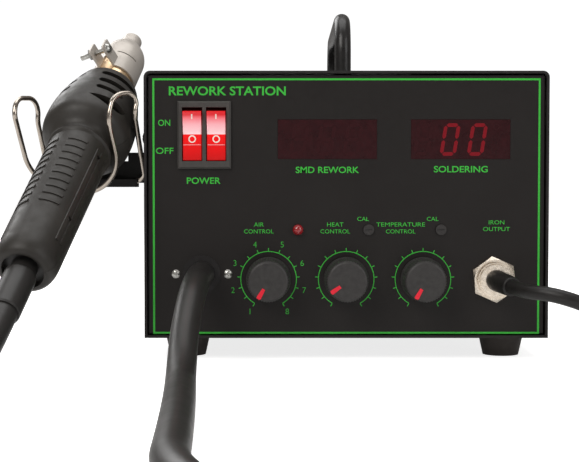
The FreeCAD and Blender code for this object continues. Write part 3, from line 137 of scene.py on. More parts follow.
# --- materials ----------------------------------------------------------------------------------
COAT_ROUGHNESS = 0.12
NOISE_LOW, NOISE_HIGH = 0.3, 0.7       # most of a noise's values lie between these
NO_STRETCH = (1.0, 1.0, 1.0)


class Look:
    """A procedural material: one shader whose colour, gloss and bump follow noises in object space."""

    def __init__(self, name, colour, roughness, metallic=0.0, specular=0.5, coat=0.0):
        self.material = bpy.data.materials.new(name)
        self.material.use_nodes = True
        self.tree = self.material.node_tree
        self.shader = self.tree.nodes["Principled BSDF"]
        self.colour = colour
        self.set("Base Color", (*colour, 1.0))
        self.set("Roughness", roughness)
        self.set("Metallic", metallic)
        self.set("Specular IOR Level", specular)
        self.set("Coat Weight", coat)
        self.set("Coat Roughness", COAT_ROUGHNESS)
        self.where = self.tree.nodes.new("ShaderNodeTexCoord").outputs["Object"]

    def set(self, socket, value):
        self.shader.inputs[socket].default_value = value

    def link(self, output, socket):
        self.tree.links.new(output, socket)

    def noise(self, scale, detail, stretch=NO_STRETCH):
        mapping = self.tree.nodes.new("ShaderNodeMapping")
        mapping.inputs["Scale"].default_value = stretch
        self.link(self.where, mapping.inputs["Vector"])
        node = self.tree.nodes.new("ShaderNodeTexNoise")
        node.inputs["Scale"].default_value = scale
        node.inputs["Detail"].default_value = detail
        self.link(mapping.outputs[0], node.inputs["Vector"])
        return node.outputs["Fac"]

    def spread(self, value, low, high, near=NOISE_LOW, far=NOISE_HIGH):
        """The value's range from near to far, stretched to run from low to high."""
        node = self.tree.nodes.new("ShaderNodeMapRange")
        for name, number in (("From Min", near), ("From Max", far), ("To Min", low), ("To Max", high)):
            node.inputs[name].default_value = number
        self.link(value, node.inputs["Value"])
        return node.outputs[0]

    def mottled(self, scale, other):
        """The colour wanders between the look's own and another."""
        mix = self.tree.nodes.new("ShaderNodeMix")
        mix.data_type = "RGBA"
        mix.inputs[6].default_value = (*self.colour, 1.0)
        mix.inputs[7].default_value = (*other, 1.0)
        self.link(self.spread(self.noise(scale, detail=4.0), 0.0, 1.0), mix.inputs[0])
        self.link(mix.outputs[2], self.shader.inputs["Base Color"])
        return self

    def polished(self, scale, low, high, stretch=NO_STRETCH):
        """The roughness wanders between two values."""
        wander = self.noise(scale, detail=3.0, stretch=stretch)
        self.link(self.spread(wander, low, high), self.shader.inputs["Roughness"])
        return self

    def grained(self, scale, depth, stretch=NO_STRETCH):
        """A fine relief, depth in millimetres."""
        bump = self.tree.nodes.new("ShaderNodeBump")
        bump.inputs["Strength"].default_value = 1.0
        bump.inputs["Distance"].default_value = depth * MM
        self.link(self.noise(scale, detail=2.0, stretch=stretch), bump.inputs["Height"])
        self.link(bump.outputs[0], self.shader.inputs["Normal"])
        return self


looks = {
    "case_paint": Look("case_paint", (0.012, 0.0105, 0.0105), 0.45, specular=0.3)
        .mottled(60, (0.016, 0.014, 0.014)).polished(300, 0.38, 0.55).grained(2600, 0.05),
    "panel_paint": Look("panel_paint", (0.0105, 0.0085, 0.008), 0.42, specular=0.26)
        .mottled(45, (0.0125, 0.0105, 0.0098)).polished(500, 0.38, 0.5).grained(4200, 0.02),
    "print_green": Look("print_green", (0.035, 0.42, 0.04), 0.5, specular=0.3)
        .mottled(900, (0.045, 0.48, 0.05)),
    "foot_rubber": Look("foot_rubber", (0.034, 0.027, 0.024), 0.6, specular=0.35)
        .mottled(300, (0.050, 0.042, 0.037)).grained(1800, 0.06),
    "zinc_screw": Look("zinc_screw", (0.55, 0.55, 0.53), 0.3, metallic=1.0)
        .mottled(900, (0.42, 0.41, 0.38)).polished(1500, 0.22, 0.42).grained(2500, 0.01),
    "black_screw": Look("black_screw", (0.02, 0.019, 0.018), 0.35, metallic=0.6, specular=0.5)
        .mottled(1200, (0.04, 0.037, 0.034)).polished(1500, 0.25, 0.5).grained(2500, 0.01),
    "handle_coat": Look("handle_coat", (0.007, 0.0065, 0.0065), 0.32, specular=0.35, coat=0.08)
        .mottled(120, (0.014, 0.013, 0.013)).polished(400, 0.26, 0.4).grained(2200, 0.02),
    "switch_plastic": Look("switch_plastic", (0.045, 0.042, 0.040), 0.45, specular=0.4)
        .mottled(400, (0.058, 0.053, 0.050)).polished(900, 0.38, 0.52).grained(5200, 0.02),
    "knob_plastic": Look("knob_plastic", (0.028, 0.026, 0.026), 0.48, specular=0.35)
        .mottled(500, (0.040, 0.038, 0.037)).polished(1100, 0.42, 0.56).grained(5600, 0.03),
    "pointer_red": Look("pointer_red", (0.70, 0.008, 0.028), 0.35, specular=0.45)
        .mottled(1500, (0.78, 0.012, 0.034)),
    "mark_white": Look("mark_white", (0.85, 0.80, 0.72), 0.45, specular=0.3)
        .mottled(1500, (0.95, 0.88, 0.80)),
    "display_module": Look("display_module", (0.02, 0.02, 0.02), 0.5)
        .mottled(300, (0.03, 0.03, 0.03)),
    "circuit_board": Look("circuit_board", (0.01, 0.09, 0.03), 0.4, specular=0.5)
        .mottled(900, (0.02, 0.16, 0.05)).grained(1500, 0.05),
    "board_part": Look("board_part", (0.03, 0.03, 0.04), 0.4)
        .mottled(120, (0.25, 0.25, 0.27)),
    "shaft_steel": Look("shaft_steel", (0.5, 0.48, 0.44), 0.3, metallic=1.0)
        .polished(1500, 0.22, 0.4, stretch=(1, 0.05, 1)).grained(3500, 0.01, stretch=(1, 0.05, 1)),
    "led_red": Look("led_red", (0.22, 0.004, 0.008), 0.15, specular=0.6, coat=0.6)
        .mottled(700, (0.34, 0.012, 0.016)),
    "cal_plastic": Look("cal_plastic", (0.022, 0.020, 0.020), 0.38, specular=0.4)
        .mottled(900, (0.034, 0.031, 0.030)),
    "gland_plastic": Look("gland_plastic", (0.010, 0.009, 0.009), 0.5, specular=0.3)
        .mottled(500, (0.016, 0.014, 0.014)).grained(2600, 0.02),
    "nickel": Look("nickel", (0.95, 0.86, 0.75), 0.24, metallic=1.0)
        .mottled(420, (0.82, 0.71, 0.58)).polished(700, 0.16, 0.36).grained(2400, 0.015),
    "wire_nickel": Look("wire_nickel", (0.54, 0.48, 0.42), 0.16, metallic=1.0)
        .mottled(160, (0.40, 0.35, 0.30)).polished(500, 0.10, 0.26).grained(1800, 0.01),
    "cord_rubber": Look("cord_rubber", (0.008, 0.0072, 0.0068), 0.42, specular=0.35)
        .mottled(200, (0.012, 0.0105, 0.010)).polished(600, 0.34, 0.5).grained(2200, 0.03),
    "hose_rubber": Look("hose_rubber", (0.015, 0.0138, 0.013), 0.40, specular=0.45)
        .mottled(40, (0.020, 0.0185, 0.0175)).polished(60, 0.36, 0.46),
    "pump_parts": Look("pump_parts", (0.35, 0.36, 0.37), 0.5, metallic=0.8)
        .mottled(200, (0.24, 0.25, 0.26)).grained(900, 0.1),
    "pump_rubber": Look("pump_rubber", (0.05, 0.05, 0.05), 0.7)
        .mottled(200, (0.08, 0.08, 0.08)).grained(1200, 0.05),
    "core_steel": Look("core_steel", (0.16, 0.15, 0.14), 0.45, metallic=0.7)
        .mottled(300, (0.10, 0.09, 0.085)).grained(1600, 0.1, stretch=(0.02, 1, 0.02)),
    "winding": Look("winding", (0.55, 0.42, 0.08), 0.5)
        .mottled(120, (0.40, 0.30, 0.06)).grained(900, 0.1, stretch=(0.05, 0.05, 1)),
    "grip_plastic": Look("grip_plastic", (0.021, 0.0188, 0.0165), 0.42, specular=0.30)
        .mottled(70, (0.029, 0.0262, 0.0230)).polished(260, 0.36, 0.52).grained(3000, 0.03),
    "heater_brass": Look("heater_brass", (0.72, 0.49, 0.27), 0.28, metallic=1.0)
        .mottled(140, (0.80, 0.62, 0.42)).polished(500, 0.2, 0.4).grained(1600, 0.02),
    "heater_ceramic": Look("heater_ceramic", (0.75, 0.70, 0.62), 0.7)
        .mottled(400, (0.62, 0.56, 0.48)).grained(1800, 0.05),
    "nozzle_steel": Look("nozzle_steel", (0.50, 0.46, 0.42), 0.50, metallic=0.3, specular=0.3)
        .mottled(120, (0.55, 0.51, 0.465)).polished(300, 0.34, 0.5).grained(2400, 0.015),
    "iron_grip": Look("iron_grip", (0.018, 0.017, 0.017), 0.5, specular=0.4)
        .mottled(160, (0.030, 0.028, 0.028)).grained(2200, 0.04),
    "iron_foam": Look("iron_foam", (0.03, 0.09, 0.10), 0.8, specular=0.2)
        .mottled(900, (0.045, 0.12, 0.13)).grained(2600, 0.15),
    "iron_steel": Look("iron_steel", (0.58, 0.56, 0.53), 0.32, metallic=1.0)
        .mottled(200, (0.50, 0.44, 0.36)).polished(800, 0.25, 0.42).grained(2500, 0.01),
    "tip_metal": Look("tip_metal", (0.6, 0.55, 0.5), 0.3, metallic=1.0)
        .mottled(500, (0.35, 0.28, 0.24)).polished(800, 0.2, 0.45),
    "tie_strap": Look("tie_strap", (0.02, 0.02, 0.02), 0.8, specular=0.2)
        .mottled(1500, (0.04, 0.04, 0.04)).grained(1800, 0.2),
    # painted highlight: the bead is a paler red than the rocker it is moulded in
    "rocker_bead": Look("rocker_bead", (0.95, 0.22, 0.24), 0.25, coat=0.5)
        .mottled(900, (1.0, 0.3, 0.3)),
}
NODE_LOOKS = {
    "case_paint": ["top_cover", "base_tray", "rear_panel", "holder_bracket"],
    "panel_paint": ["front_panel"],
    "foot_rubber": ["feet"],
    "zinc_screw": ["foot_screws", "handle_fittings", "clamp_screw", "gun_screws", "gland_screws"],
    "black_screw": ["cover_screws", "holder_screws"],
    "handle_coat": ["carry_handle"],
    "switch_plastic": ["switch_housing", "fuse_holder", "fuse_cap", "mains_inlet"],
    "rocker_red": ["rocker_left", "rocker_right"],
    "display_red": ["air_display_window", "iron_display_window"],
    "display_module": ["display_modules"],
    "circuit_board": ["display_board", "main_board"],
    "board_part": ["board_parts"],
    "knob_plastic": ["air_knob", "heat_knob", "temperature_knob"],
    "shaft_steel": ["air_shaft", "heat_shaft", "temperature_shaft", "potentiometers"],
    "led_red": ["led_lamp"],
    "cal_plastic": ["heat_cal_plug", "temperature_cal_plug"],
    "gland_plastic": ["hose_gland"],
    "nickel": ["iron_socket", "socket_nut", "iron_plug"],
    "wire_nickel": ["holder_wire"],
    "cord_rubber": ["plug_boot"],
    "hose_rubber": ["hose_sleeve"],
    "pump_parts": ["air_pump"],
    "pump_rubber": ["pump_mounts", "pump_tube"],
    "core_steel": ["transformer_core"],
    "winding": ["transformer_winding"],
    "grip_plastic": ["gun_shell_upper", "gun_shell_lower", "vent_collar"],
    "heater_brass": ["heater_tube"],
    "heater_ceramic": ["heater_core"],
    "nozzle_steel": ["nozzle"],
    "iron_grip": ["iron_handle"],
    "iron_steel": ["iron_barrel"],
    "tip_metal": ["iron_tip"],
}


# painted glow: the rocker shines faintly red though no lamp lights it
ROCKER_PAINTED_GLOW = 0.16
# painted highlight on the rocker's face: pale pink from the crease up, red again at the top, darker red
# towards the bottom
ROCKER_PAINTED_HIGHLIGHT = (
    # share of the rocker's height, colour
    (0.0, (0.50, 0.001, 0.002)), (0.36, (0.80, 0.002, 0.003)), (0.515, (0.90, 0.006, 0.008)),
    (0.53, (1.0, 0.80, 0.84)), (0.72, (0.98, 0.52, 0.58)), (0.84, (0.9, 0.20, 0.24)),
    (0.90, (0.70, 0.02, 0.03)),
)


def rocker_look():
    """Clear red plastic with a painted highlight: pale pink from the crease upwards, red again at the top and
    darker red towards the bottom, and a faint painted glow.
    """
    look = Look("rocker_red", (0.80, 0.002, 0.003), 0.16, specular=0.35, coat=0.3)
    # painted glow, not a lamp in the switch
    look.set("Emission Color", (0.9, 0.0, 0.0, 1.0))
    look.set("Emission Strength", ROCKER_PAINTED_GLOW)
    height = look.tree.nodes.new("ShaderNodeSeparateXYZ")
    look.link(look.where, height.inputs[0])
    # the painted highlight is laid out by height on the rocker
    ramp = look.tree.nodes.new("ShaderNodeValToRGB")
    elements = ramp.color_ramp.elements
    while len(elements) < len(ROCKER_PAINTED_HIGHLIGHT):
        elements.new(0.5)
    for element, (place, colour) in zip(elements, ROCKER_PAINTED_HIGHLIGHT):
        element.position = place
        element.color = (*colour, 1.0)
    low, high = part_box("rocker_left")
    look.link(look.spread(height.outputs["Z"], 0.0, 1.0, low.z, high.z), ramp.inputs[0])
    look.link(ramp.outputs[0], look.shader.inputs["Base Color"])
    look.polished(700, 0.12, 0.2)
    return look


def display_look():
    """A glossy dark red filter, slightly uneven in colour and gloss."""
    look = Look("display_red", (0.020, 0.0025, 0.004), 0.16, specular=0.35)
    look.mottled(260, (0.030, 0.004, 0.006)).polished(900, 0.12, 0.22)
    return look


def segment_look(name, colour, strength):
    """A display segment, which shines with its own colour at the given strength."""
    look = Look(name, colour, 0.4, specular=0.2)
    look.set("Emission Color", (*colour, 1.0))
    look.set("Emission Strength", strength)
    look.mottled(1500, tuple(0.8 * part for part in colour))
    return look


looks["rocker_red"] = rocker_look()
looks["display_red"] = display_look()
looks["segment_lit"] = segment_look("segment_lit", (0.16, 0.003, 0.008), 0.30)
looks["segment_dark"] = segment_look("segment_dark", (0.030, 0.003, 0.005), 0.0)


def dress(piece, look):
    piece.data.materials.clear()
    piece.data.materials.append(looks[look].material)


def dress_nodes():
    for look, nodes in NODE_LOOKS.items():
        for node in nodes:
            dress(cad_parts[node], look)


# --- mesh helpers -------------------------------------------------------------------------------
SHARP_ANGLE = math.radians(35)         # edges that turn by more stay sharp


def piece_from(name, mesh_maker, look, body, smooth=True):
    """A piece whose mesh is filled in by mesh_maker, dressed and riding on its body."""
    bm = bmesh.new()
    mesh_maker(bm)
    bmesh.ops.recalc_face_normals(bm, faces=bm.faces)
    mesh = bpy.data.meshes.new(name)
    bm.to_mesh(mesh)
    bm.free()
    if smooth:
        for polygon in mesh.polygons:
            polygon.use_smooth = True
        mesh.set_sharp_from_angle(angle=SHARP_ANGLE)
    piece = bpy.data.objects.new(name, mesh)
    bpy.context.scene.collection.objects.link(piece)
    dress(piece, look)
    if body:
        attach(piece, body)
    return piece


def add_prism(bm, loop, depth):
    """A closed prism: loop is a list of points in metres, depth the vector to its back."""
    front = [bm.verts.new(point) for point in loop]
    back = [bm.verts.new(point + depth) for point in loop]
    bm.faces.new(front)
    bm.faces.new(list(reversed(back)))
    count = len(loop)
    for i in range(count):
        j = (i + 1) % count
        bm.faces.new((front[j], front[i], back[i], back[j]))


def add_band(bm, outer, inner, depth, closed=True):
    """A flat ring or strip between two lines of points, given a depth."""
    rows = [[bm.verts.new(p) for p in line] for line in
            (outer, inner, [p + depth for p in inner], [p + depth for p in outer])]
    count = len(outer)
    for i in range(count if closed else count - 1):
        j = (i + 1) % count
        for a, b in zip(rows, rows[1:] + rows[:1]):
            bm.faces.new((a[i], a[j], b[j], b[i]))
    if not closed:
        bm.faces.new([row[0] for row in rows])
        bm.faces.new([row[-1] for row in reversed(rows)])


def add_ring(bm, centre, across, other, radius, sides):
    """The vertices of a circle, given in metres, in the plane of two directions."""
    turns = [2 * math.pi * k / sides for k in range(sides)]
    return [bm.verts.new(centre + (across * math.cos(turn) + other * math.sin(turn)) * radius)
            for turn in turns]


def join_rings(bm, rings):
    """The skin over a row of rings, closed at both ends."""
    sides = len(rings[0])
    for low, high in zip(rings, rings[1:]):
        for k in range(sides):
            m = (k + 1) % sides
            bm.faces.new((low[k], low[m], high[m], high[k]))
    bm.faces.new(list(reversed(rings[0])))
    bm.faces.new(rings[-1])


def add_tube(bm, points, radius, sides):
    """A round tube along a line of points; points and radius are in metres."""
    tangents = []
    for i in range(len(points)):
        before, after = points[max(i - 1, 0)], points[min(i + 1, len(points) - 1)]
        tangents.append((after - before).normalized())
    across = tangents[0].orthogonal().normalized()
    rings = []
    for i, (point, tangent) in enumerate(zip(points, tangents)):
        if i:
            across = tangents[i - 1].rotation_difference(tangent) @ across
        across = (across - tangent * across.dot(tangent)).normalized()
        rings.append(add_ring(bm, point, across, tangent.cross(across), radius, sides))
    join_rings(bm, rings)


def add_lathe(bm, outline, start, axis, sides):
    """A solid of revolution: outline holds (distance along, radius) pairs in millimetres."""
    axis = Vector(axis).normalized()
    across = axis.orthogonal().normalized()
    other = axis.cross(across)
    join_rings(bm, [add_ring(bm, Vector(start) + axis * (along * MM), across, other, radius * MM, sides)
                    for along, radius in outline])


# --- cords --------------------------------------------------------------------------------------
HOSE_RADIUS = 6.0
CORD_RADIUS = 3.2
LINE_STEPS = 10                # a line's pieces between two points of its route
GUN_REAR = case(-135.69, -75.17, 46.51)        # the middle of the grip's rear end
GUN_AXIS = Vector((0.1561, 0.7976, 0.5827)).normalized()
HOSE_END = -20.0               # inside the gun's sleeve, along the gun's axis
HOSE_COIL = {"centre": (-96.0, -386.0), "radius": 84.0, "step": 13.0, "start": 45.0, "turn": 585.0,
             "points": 18}     # step inwards in each full turn; start and turn in degrees
HOSE_COIL_RISE = (4.0, 11.0)   # how far the coil's last two points rise to cross its own turns
HOSE_SPLIT = -4                # the coil's point where the hose's two tubes meet
HOSE_SIDES = 28
BOOT_AXIS = Vector((0.28, -0.955, -0.10)).normalized()
BOOT_START_Y = -8.0
BOOT_LENGTH = 17.0
CORD_STRAIGHT = 12.0           # how far the iron's cord runs on along the boot's axis
CORD_COIL_CENTRE = (181.0, 52.0)
CORD_COIL_OUTER = 38.4
CORD_COIL_TURNS = 5
CORD_COIL_START = 186.0        # degrees from +x
POINTS_PER_TURN = 16
CLIMB_TURNS = 0.25             # how much of a turn the cord takes to climb to the upper layer
IRON_CORD_INSIDE = 2.0         # how far the cord runs into the iron's handle
TIES = {"coil_tie_left": 115.0, "coil_tie_right": -20.0}       # degrees from +x, round the coil
TIE_HALF_WIDTH, TIE_THICKNESS = 3.0, 0.5
TIE_GAP = 0.1                  # between the strap and the turns
TIE_REACH = 19.3               # from the outermost turn's middle to the strap's inner side
TIE_CORNER, TIE_CORNER_STEPS = 2.6, 6
TIE_LIFT = 0.05                # how far the strap stays above the desk
IRON_REAR = case(158.0, 132.0, 13.2)
IRON_AXIS = Vector((0.17, 0.985, 0.0)).normalized()


def gun_point(along):
    """A point on the gun's axis, in metres, at a distance in millimetres from the grip's rear end."""
    return GUN_REAR + GUN_AXIS * (along * MM)


def smooth_line(name, points):
    """The curve that a cord follows: one NURBS spline with the route's points as its control points."""
    data = bpy.data.curves.new(name, "CURVE")
    data.dimensions = "3D"
    data.resolution_u = LINE_STEPS
    spline = data.splines.new("NURBS")
    spline.points.add(len(points) - 1)
    for control, point in zip(spline.points, points):
        control.co = (*point, 1.0)
    spline.order_u = 3
    spline.use_endpoint_u = True
    curve = bpy.data.objects.new(name, data)
    bpy.context.scene.collection.objects.link(curve)
    return curve


def points_along(curve):
    """The curve's own points, closely spaced, and the curve removed."""
    bpy.context.view_layer.update()
    mesh = bpy.data.meshes.new_from_object(curve.evaluated_get(bpy.context.evaluated_depsgraph_get()))
    points = [vertex.co.copy() for vertex in mesh.vertices]
    bpy.data.objects.remove(curve)
    bpy.data.meshes.remove(mesh)
    return points


def hose_coil():
    """The loose flat coil that runs inwards and lifts at its end to cross its own turns."""
    coil = []
    x, y = HOSE_COIL["centre"]
    count = HOSE_COIL["points"]
    rises = dict(zip((count - 1, count), HOSE_COIL_RISE))
    for i in range(count + 1):
        swept = HOSE_COIL["turn"] * i / count
        angle = math.radians(HOSE_COIL["start"] - swept)
        reach = HOSE_COIL["radius"] - HOSE_COIL["step"] * swept / 360.0
        coil.append(case(x + reach * math.cos(angle), y + reach * math.sin(angle),
                         HOSE_RADIUS + rises.get(i, 0.0)))
    return coil


def hose_route():
    """From the port down to the desk, forward, round the coil, and back up into the gun's grip."""
    first = [case(-67.0, 0.0, 39.9), case(-67.6, -33.0, 40.2), case(-70.0, -68.0, 22.0),
             case(-68.9, -103.0, 6.5), case(-66.4, -140.0, 6.0), case(-63.9, -182.0, 6.0),
             case(-61.6, -226.0, 6.0), case(-59.6, -272.0, 6.0)]
    last = [case(-159.0, -362.0, 21.5), case(-157.0, -322.0, 21.5), case(-153.5, -284.0, 10.0),
            case(-150.5, -244.0, 6.0), case(-152.0, -206.0, 6.0), case(-150.5, -172.0, 6.0),
            case(-146.6, -142.0, 6.6), gun_point(-50.0), gun_point(HOSE_END)]
    return first, hose_coil(), last


def hose_tube(name, line):
    return piece_from(name, lambda bm: add_tube(bm, line, HOSE_RADIUS * MM, HOSE_SIDES),
                      "hose_rubber", None)


def declare_hose():
    """Hides the CAD model's one hose, for which both tubes stand."""
    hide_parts("air_hose")


def make_hose():
    """The air hose: one line, drawn as two tubes that meet end to end inside the coil."""
    first, coil, last = hose_route()
    line = points_along(smooth_line("hose_line", first + coil + last))
    split = min(range(len(line)), key=lambda i: (line[i] - coil[HOSE_SPLIT]).length)
    front_line, rear_line = line[:split + 1], line[split:]
    front = hose_tube("air_hose_front", front_line)
    rear = hose_tube("air_hose_rear", rear_line)
    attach(front, "station")
    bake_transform(rear)
    declare_hose()
    declare_hose()


def cord_coil():
    """Neat turns in two layers: inwards on the desk, then outwards on top."""
    low, high = CORD_RADIUS, 3 * CORD_RADIUS
    half = CORD_COIL_TURNS / 2
    points = []
    for i in range(CORD_COIL_TURNS * POINTS_PER_TURN + 1):
        turns = i / POINTS_PER_TURN
        reach = CORD_COIL_OUTER - 2 * CORD_RADIUS * (half - abs(turns - half))
        climb = min(max((turns - half) / CLIMB_TURNS + 0.5, 0.0), 1.0)
        angle = math.radians(CORD_COIL_START) - 2 * math.pi * turns
        points.append(case(CORD_COIL_CENTRE[0] + reach * math.cos(angle),
                           CORD_COIL_CENTRE[1] + reach * math.sin(angle), low + (high - low) * climb))
    return points


def make_iron_cord():
    """The iron's cord: out of the plug's boot, down to the desk, round its coil and into the handle."""
    plug = middle("iron_plug")
    leave = case(plug.x, BOOT_START_Y, plug.z) + BOOT_AXIS * (BOOT_LENGTH * MM)
    lead = [leave, leave + BOOT_AXIS * (CORD_STRAIGHT * MM), case(86.0, -45.0, 34.6), case(98.8, -48.4, 31.0),
            case(112.0, -44.0, 25.0), case(123.6, -32.0, 17.0), case(132.6, -13.0, 8.5),
            case(138.6, 10.0, 3.2), case(141.6, 35.0, 3.2)]
    tail = [case(143.0, 66.0, 9.6), case(143.8, 80.0, 9.6), case(147.2, 96.0, 10.6),
            case(152.4, 112.0, 13.0), IRON_REAR + IRON_AXIS * (IRON_CORD_INSIDE * MM)]
    cord = smooth_line("iron_cord_line", lead + cord_coil() + tail)
    cord.data.bevel_depth = CORD_RADIUS * MM
    cord.data.bevel_resolution = 5
    cord.data.use_fill_caps = True
    dress(cord, "cord_rubber")
    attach(cord, "station")
    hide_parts("iron_cord", "iron_cord_coil")
    ties = [make_tie(name, degrees) for name, degrees in TIES.items()]


def make_tie(name, degrees):
    """A flat strap round the coil's turns."""
    angle = math.radians(degrees)
    out = Vector((math.cos(angle), math.sin(angle), 0.0))
    along = Vector((-math.sin(angle), math.cos(angle), 0.0))
    centre = case(*CORD_COIL_CENTRE, 2 * CORD_RADIUS)
    inner, outer = CORD_COIL_OUTER - TIE_REACH, CORD_COIL_OUTER + CORD_RADIUS + TIE_GAP
    reach, rise = (outer - inner) / 2 - TIE_CORNER, 2 * CORD_RADIUS + TIE_GAP - TIE_CORNER
    lowest = TIE_LIFT - 2 * CORD_RADIUS

    def loop(grow):
        """The strap's rounded outline, grown outwards, in the upright plane through the coil's middle."""
        points = []
        for sx, sz in ((1, 1), (-1, 1), (-1, -1), (1, -1)):
            for k in range(TIE_CORNER_STEPS + 1):
                turn = math.atan2(sz, sx) - math.pi / 4 + (math.pi / 2) * k / TIE_CORNER_STEPS
                x = sx * reach + (TIE_CORNER + grow) * math.cos(turn)
                z = max(sz * rise + (TIE_CORNER + grow) * math.sin(turn), lowest)
                points.append(centre + (out * ((inner + outer) / 2 + x) + Vector((0, 0, z))
                                        - along * TIE_HALF_WIDTH) * MM)
        return points

    width = along * (2 * TIE_HALF_WIDTH * MM)
    return piece_from(name, lambda bm: add_band(bm, loop(TIE_THICKNESS), loop(0.0), width),
                      "tie_strap", "station")


# --- printing on the panel ----------------------------------------------------------------------
PRINT = 0.05                   # how thick the print stands on the panel
FORWARD = Vector((0.0, -PRINT * MM, 0.0))
BORDER = {"half_width": 89.6, "low": 12.1, "high": 130.4, "line": 0.9}
SCALE_LINE = 0.38
SCALE_RING, SCALE_TICK, SCALE_NUMBER = 13.1, 14.5, 17.3
SCALE_SWEEP = 150.0            # degrees each way from the top
SCALE_STEPS = 60               # pieces of the ring
SCALE_TICKS = 15
TICK_TAPER = 0.9               # a tick's angle at its outer end, from that at its inner end
NUMBER_HEIGHT = 2.6
NUMBER_WEIGHT = -0.012         # thinner than the typeface's own strokes
TEXT_HALF_DEPTH = 0.5
TEXT_CURVE_STEPS = 4
KNOBS = ("air_knob", "heat_knob", "temperature_knob")
KNOB_Z = middle("air_knob").z
LABELS = [
    # words, x, z, height of the capitals, width, weight of the strokes
    ("REWORK STATION", -55.0, 124.6, 4.2, 54.0, 0.020),
    ("ON", -84.2, 109.9, 2.9, 5.6, 0.010), ("OFF", -84.0, 97.0, 2.9, 8.2, 0.010),
    ("POWER", -66.0, 83.2, 3.0, 15.6, 0.016),
    ("SMD REWORK", -8.8, 88.2, 3.0, 29.3, 0.016), ("SOLDERING", 52.9, 88.5, 3.0, 24.9, 0.016),
    ("AIR", -40.5, 62.9, 1.9, 4.6, 0.0), ("CONTROL", -40.5, 59.7, 1.9, 13.7, 0.0),
    ("HEAT", -5.1, 62.9, 1.9, 7.6, 0.0), ("CONTROL", -5.1, 59.7, 1.9, 13.7, 0.0),
    ("TEMPERATURE", 25.2, 62.9, 1.9, 22.6, 0.0), ("CONTROL", 25.2, 59.7, 1.9, 13.7, 0.0),
    ("CAL", 7.8, 65.5, 1.9, 5.4, 0.0), ("CAL", 40.0, 65.5, 1.9, 5.4, 0.0),
    ("IRON", 69.6, 63.9, 1.9, 7.2, 0.0), ("OUTPUT", 69.6, 60.8, 1.9, 12.4, 0.0),
]


def add_words(bm, words, x, z, cap, width=None, weight=0.0):
    """Printed words centred on a point of the panel; without a width they keep the typeface's own."""
    data = bpy.data.curves.new("words", "FONT")
    data.body = words
    data.extrude = TEXT_HALF_DEPTH
    data.offset = weight
    data.resolution_u = TEXT_CURVE_STEPS
    text = bpy.data.objects.new("words", data)
    bpy.context.scene.collection.objects.link(text)
    bpy.context.view_layer.update()
    mesh = bpy.data.meshes.new_from_object(text.evaluated_get(bpy.context.evaluated_depsgraph_get()))
    across = [vertex.co.x for vertex in mesh.vertices]
    upward = [vertex.co.y for vertex in mesh.vertices]
    tall = cap / (max(upward) - min(upward))
    wide = width / (max(across) - min(across)) if width else tall
    mid_x, mid_z = (max(across) + min(across)) / 2, (max(upward) + min(upward)) / 2
    for vertex in mesh.vertices:
        u, v, w = vertex.co
        vertex.co = case(x + (u - mid_x) * wide, -(w + TEXT_HALF_DEPTH) * PRINT, z + (v - mid_z) * tall)
    bm.from_mesh(mesh)
    bpy.data.objects.remove(text)
    bpy.data.meshes.remove(mesh)


def print_words(bm):
    for label in LABELS:
        add_words(bm, *label)


def rectangle(x0, z0, x1, z1):
    """A rectangle's corners on the panel's face."""
    return [case(x0, 0, z0), case(x1, 0, z0), case(x1, 0, z1), case(x0, 0, z1)]


def print_border(bm):
    half, low, high, line = BORDER["half_width"], BORDER["low"], BORDER["high"], BORDER["line"]
    add_band(bm, rectangle(-half, low, half, high),
             rectangle(-half + line, low + line, half - line, high - line), FORWARD)


def round_point(x, z, radius, degrees):
    """A point on a circle about (x, z); degrees are clockwise from the top, seen from the front."""
    angle = math.radians(degrees)
    return case(x + radius * math.sin(angle), 0, z + radius * math.cos(angle))


def scale_angle(i, steps):
    """Degrees from the top, i steps along a scale divided into that many."""
    return -SCALE_SWEEP + 2 * SCALE_SWEEP * i / steps


def print_scale(bm, x):
    """The open ring and ticks round one knob."""
    angles = [scale_angle(i, SCALE_STEPS) for i in range(SCALE_STEPS + 1)]
    outer = [round_point(x, KNOB_Z, SCALE_RING, angle) for angle in angles]
    inner = [round_point(x, KNOB_Z, SCALE_RING - SCALE_LINE, angle) for angle in angles]
    add_band(bm, outer, inner, FORWARD, closed=False)
    half = math.degrees(SCALE_LINE / 2 / SCALE_RING)
    for i in range(SCALE_TICKS):
        angle = scale_angle(i, SCALE_TICKS - 1)
        add_prism(bm, [round_point(x, KNOB_Z, SCALE_RING, angle - half),
                       round_point(x, KNOB_Z, SCALE_TICK, angle - half * TICK_TAPER),
                       round_point(x, KNOB_Z, SCALE_TICK, angle + half * TICK_TAPER),
                       round_point(x, KNOB_Z, SCALE_RING, angle + half)], FORWARD)


def print_scales(bm):
    """A scale round each knob, and a number at every second tick of the air knob's."""
    for knob in KNOBS:
        print_scale(bm, middle(knob).x)
    air = middle("air_knob").x
    for i in range(0, SCALE_TICKS, 2):
        angle = math.radians(scale_angle(i, SCALE_TICKS - 1))
        add_words(bm, str(i // 2 + 1), air + SCALE_NUMBER * math.sin(angle),
                  KNOB_Z + SCALE_NUMBER * math.cos(angle), NUMBER_HEIGHT, weight=NUMBER_WEIGHT)


def make_panel_print():
    for name, maker in (("panel_words", print_words), ("panel_border", print_border),
                        ("knob_scales", print_scales)):
        piece_from(name, maker, "print_green", "station", smooth=False)


# --- displays -----------------------------------------------------------------------------------
DIGIT_WIDTH, DIGIT_HEIGHT, SEGMENT = 7.6, 15.0, 1.7
SLANT = math.tan(math.radians(9.0))
SEGMENT_GAP = 0.25
DISPLAY_Z = 102.2
IRON_DARK_DIGIT = -17.2        # from the middle of the iron's window
IRON_LIT_DIGITS = (-4.9, 7.7)
DEGREE_X, DEGREE_Z = 16.5, 108.0
DEGREE_RADII, DEGREE_STEPS = (1.5, 1.0), 20
AIR_DIGITS = (-13.0, -0.6, 11.8)       # from the middle of the air's window
ZERO = ("top", "bottom", "left_high", "left_low", "right_high", "right_low")
ALL_SEGMENTS = (*ZERO, "middle")


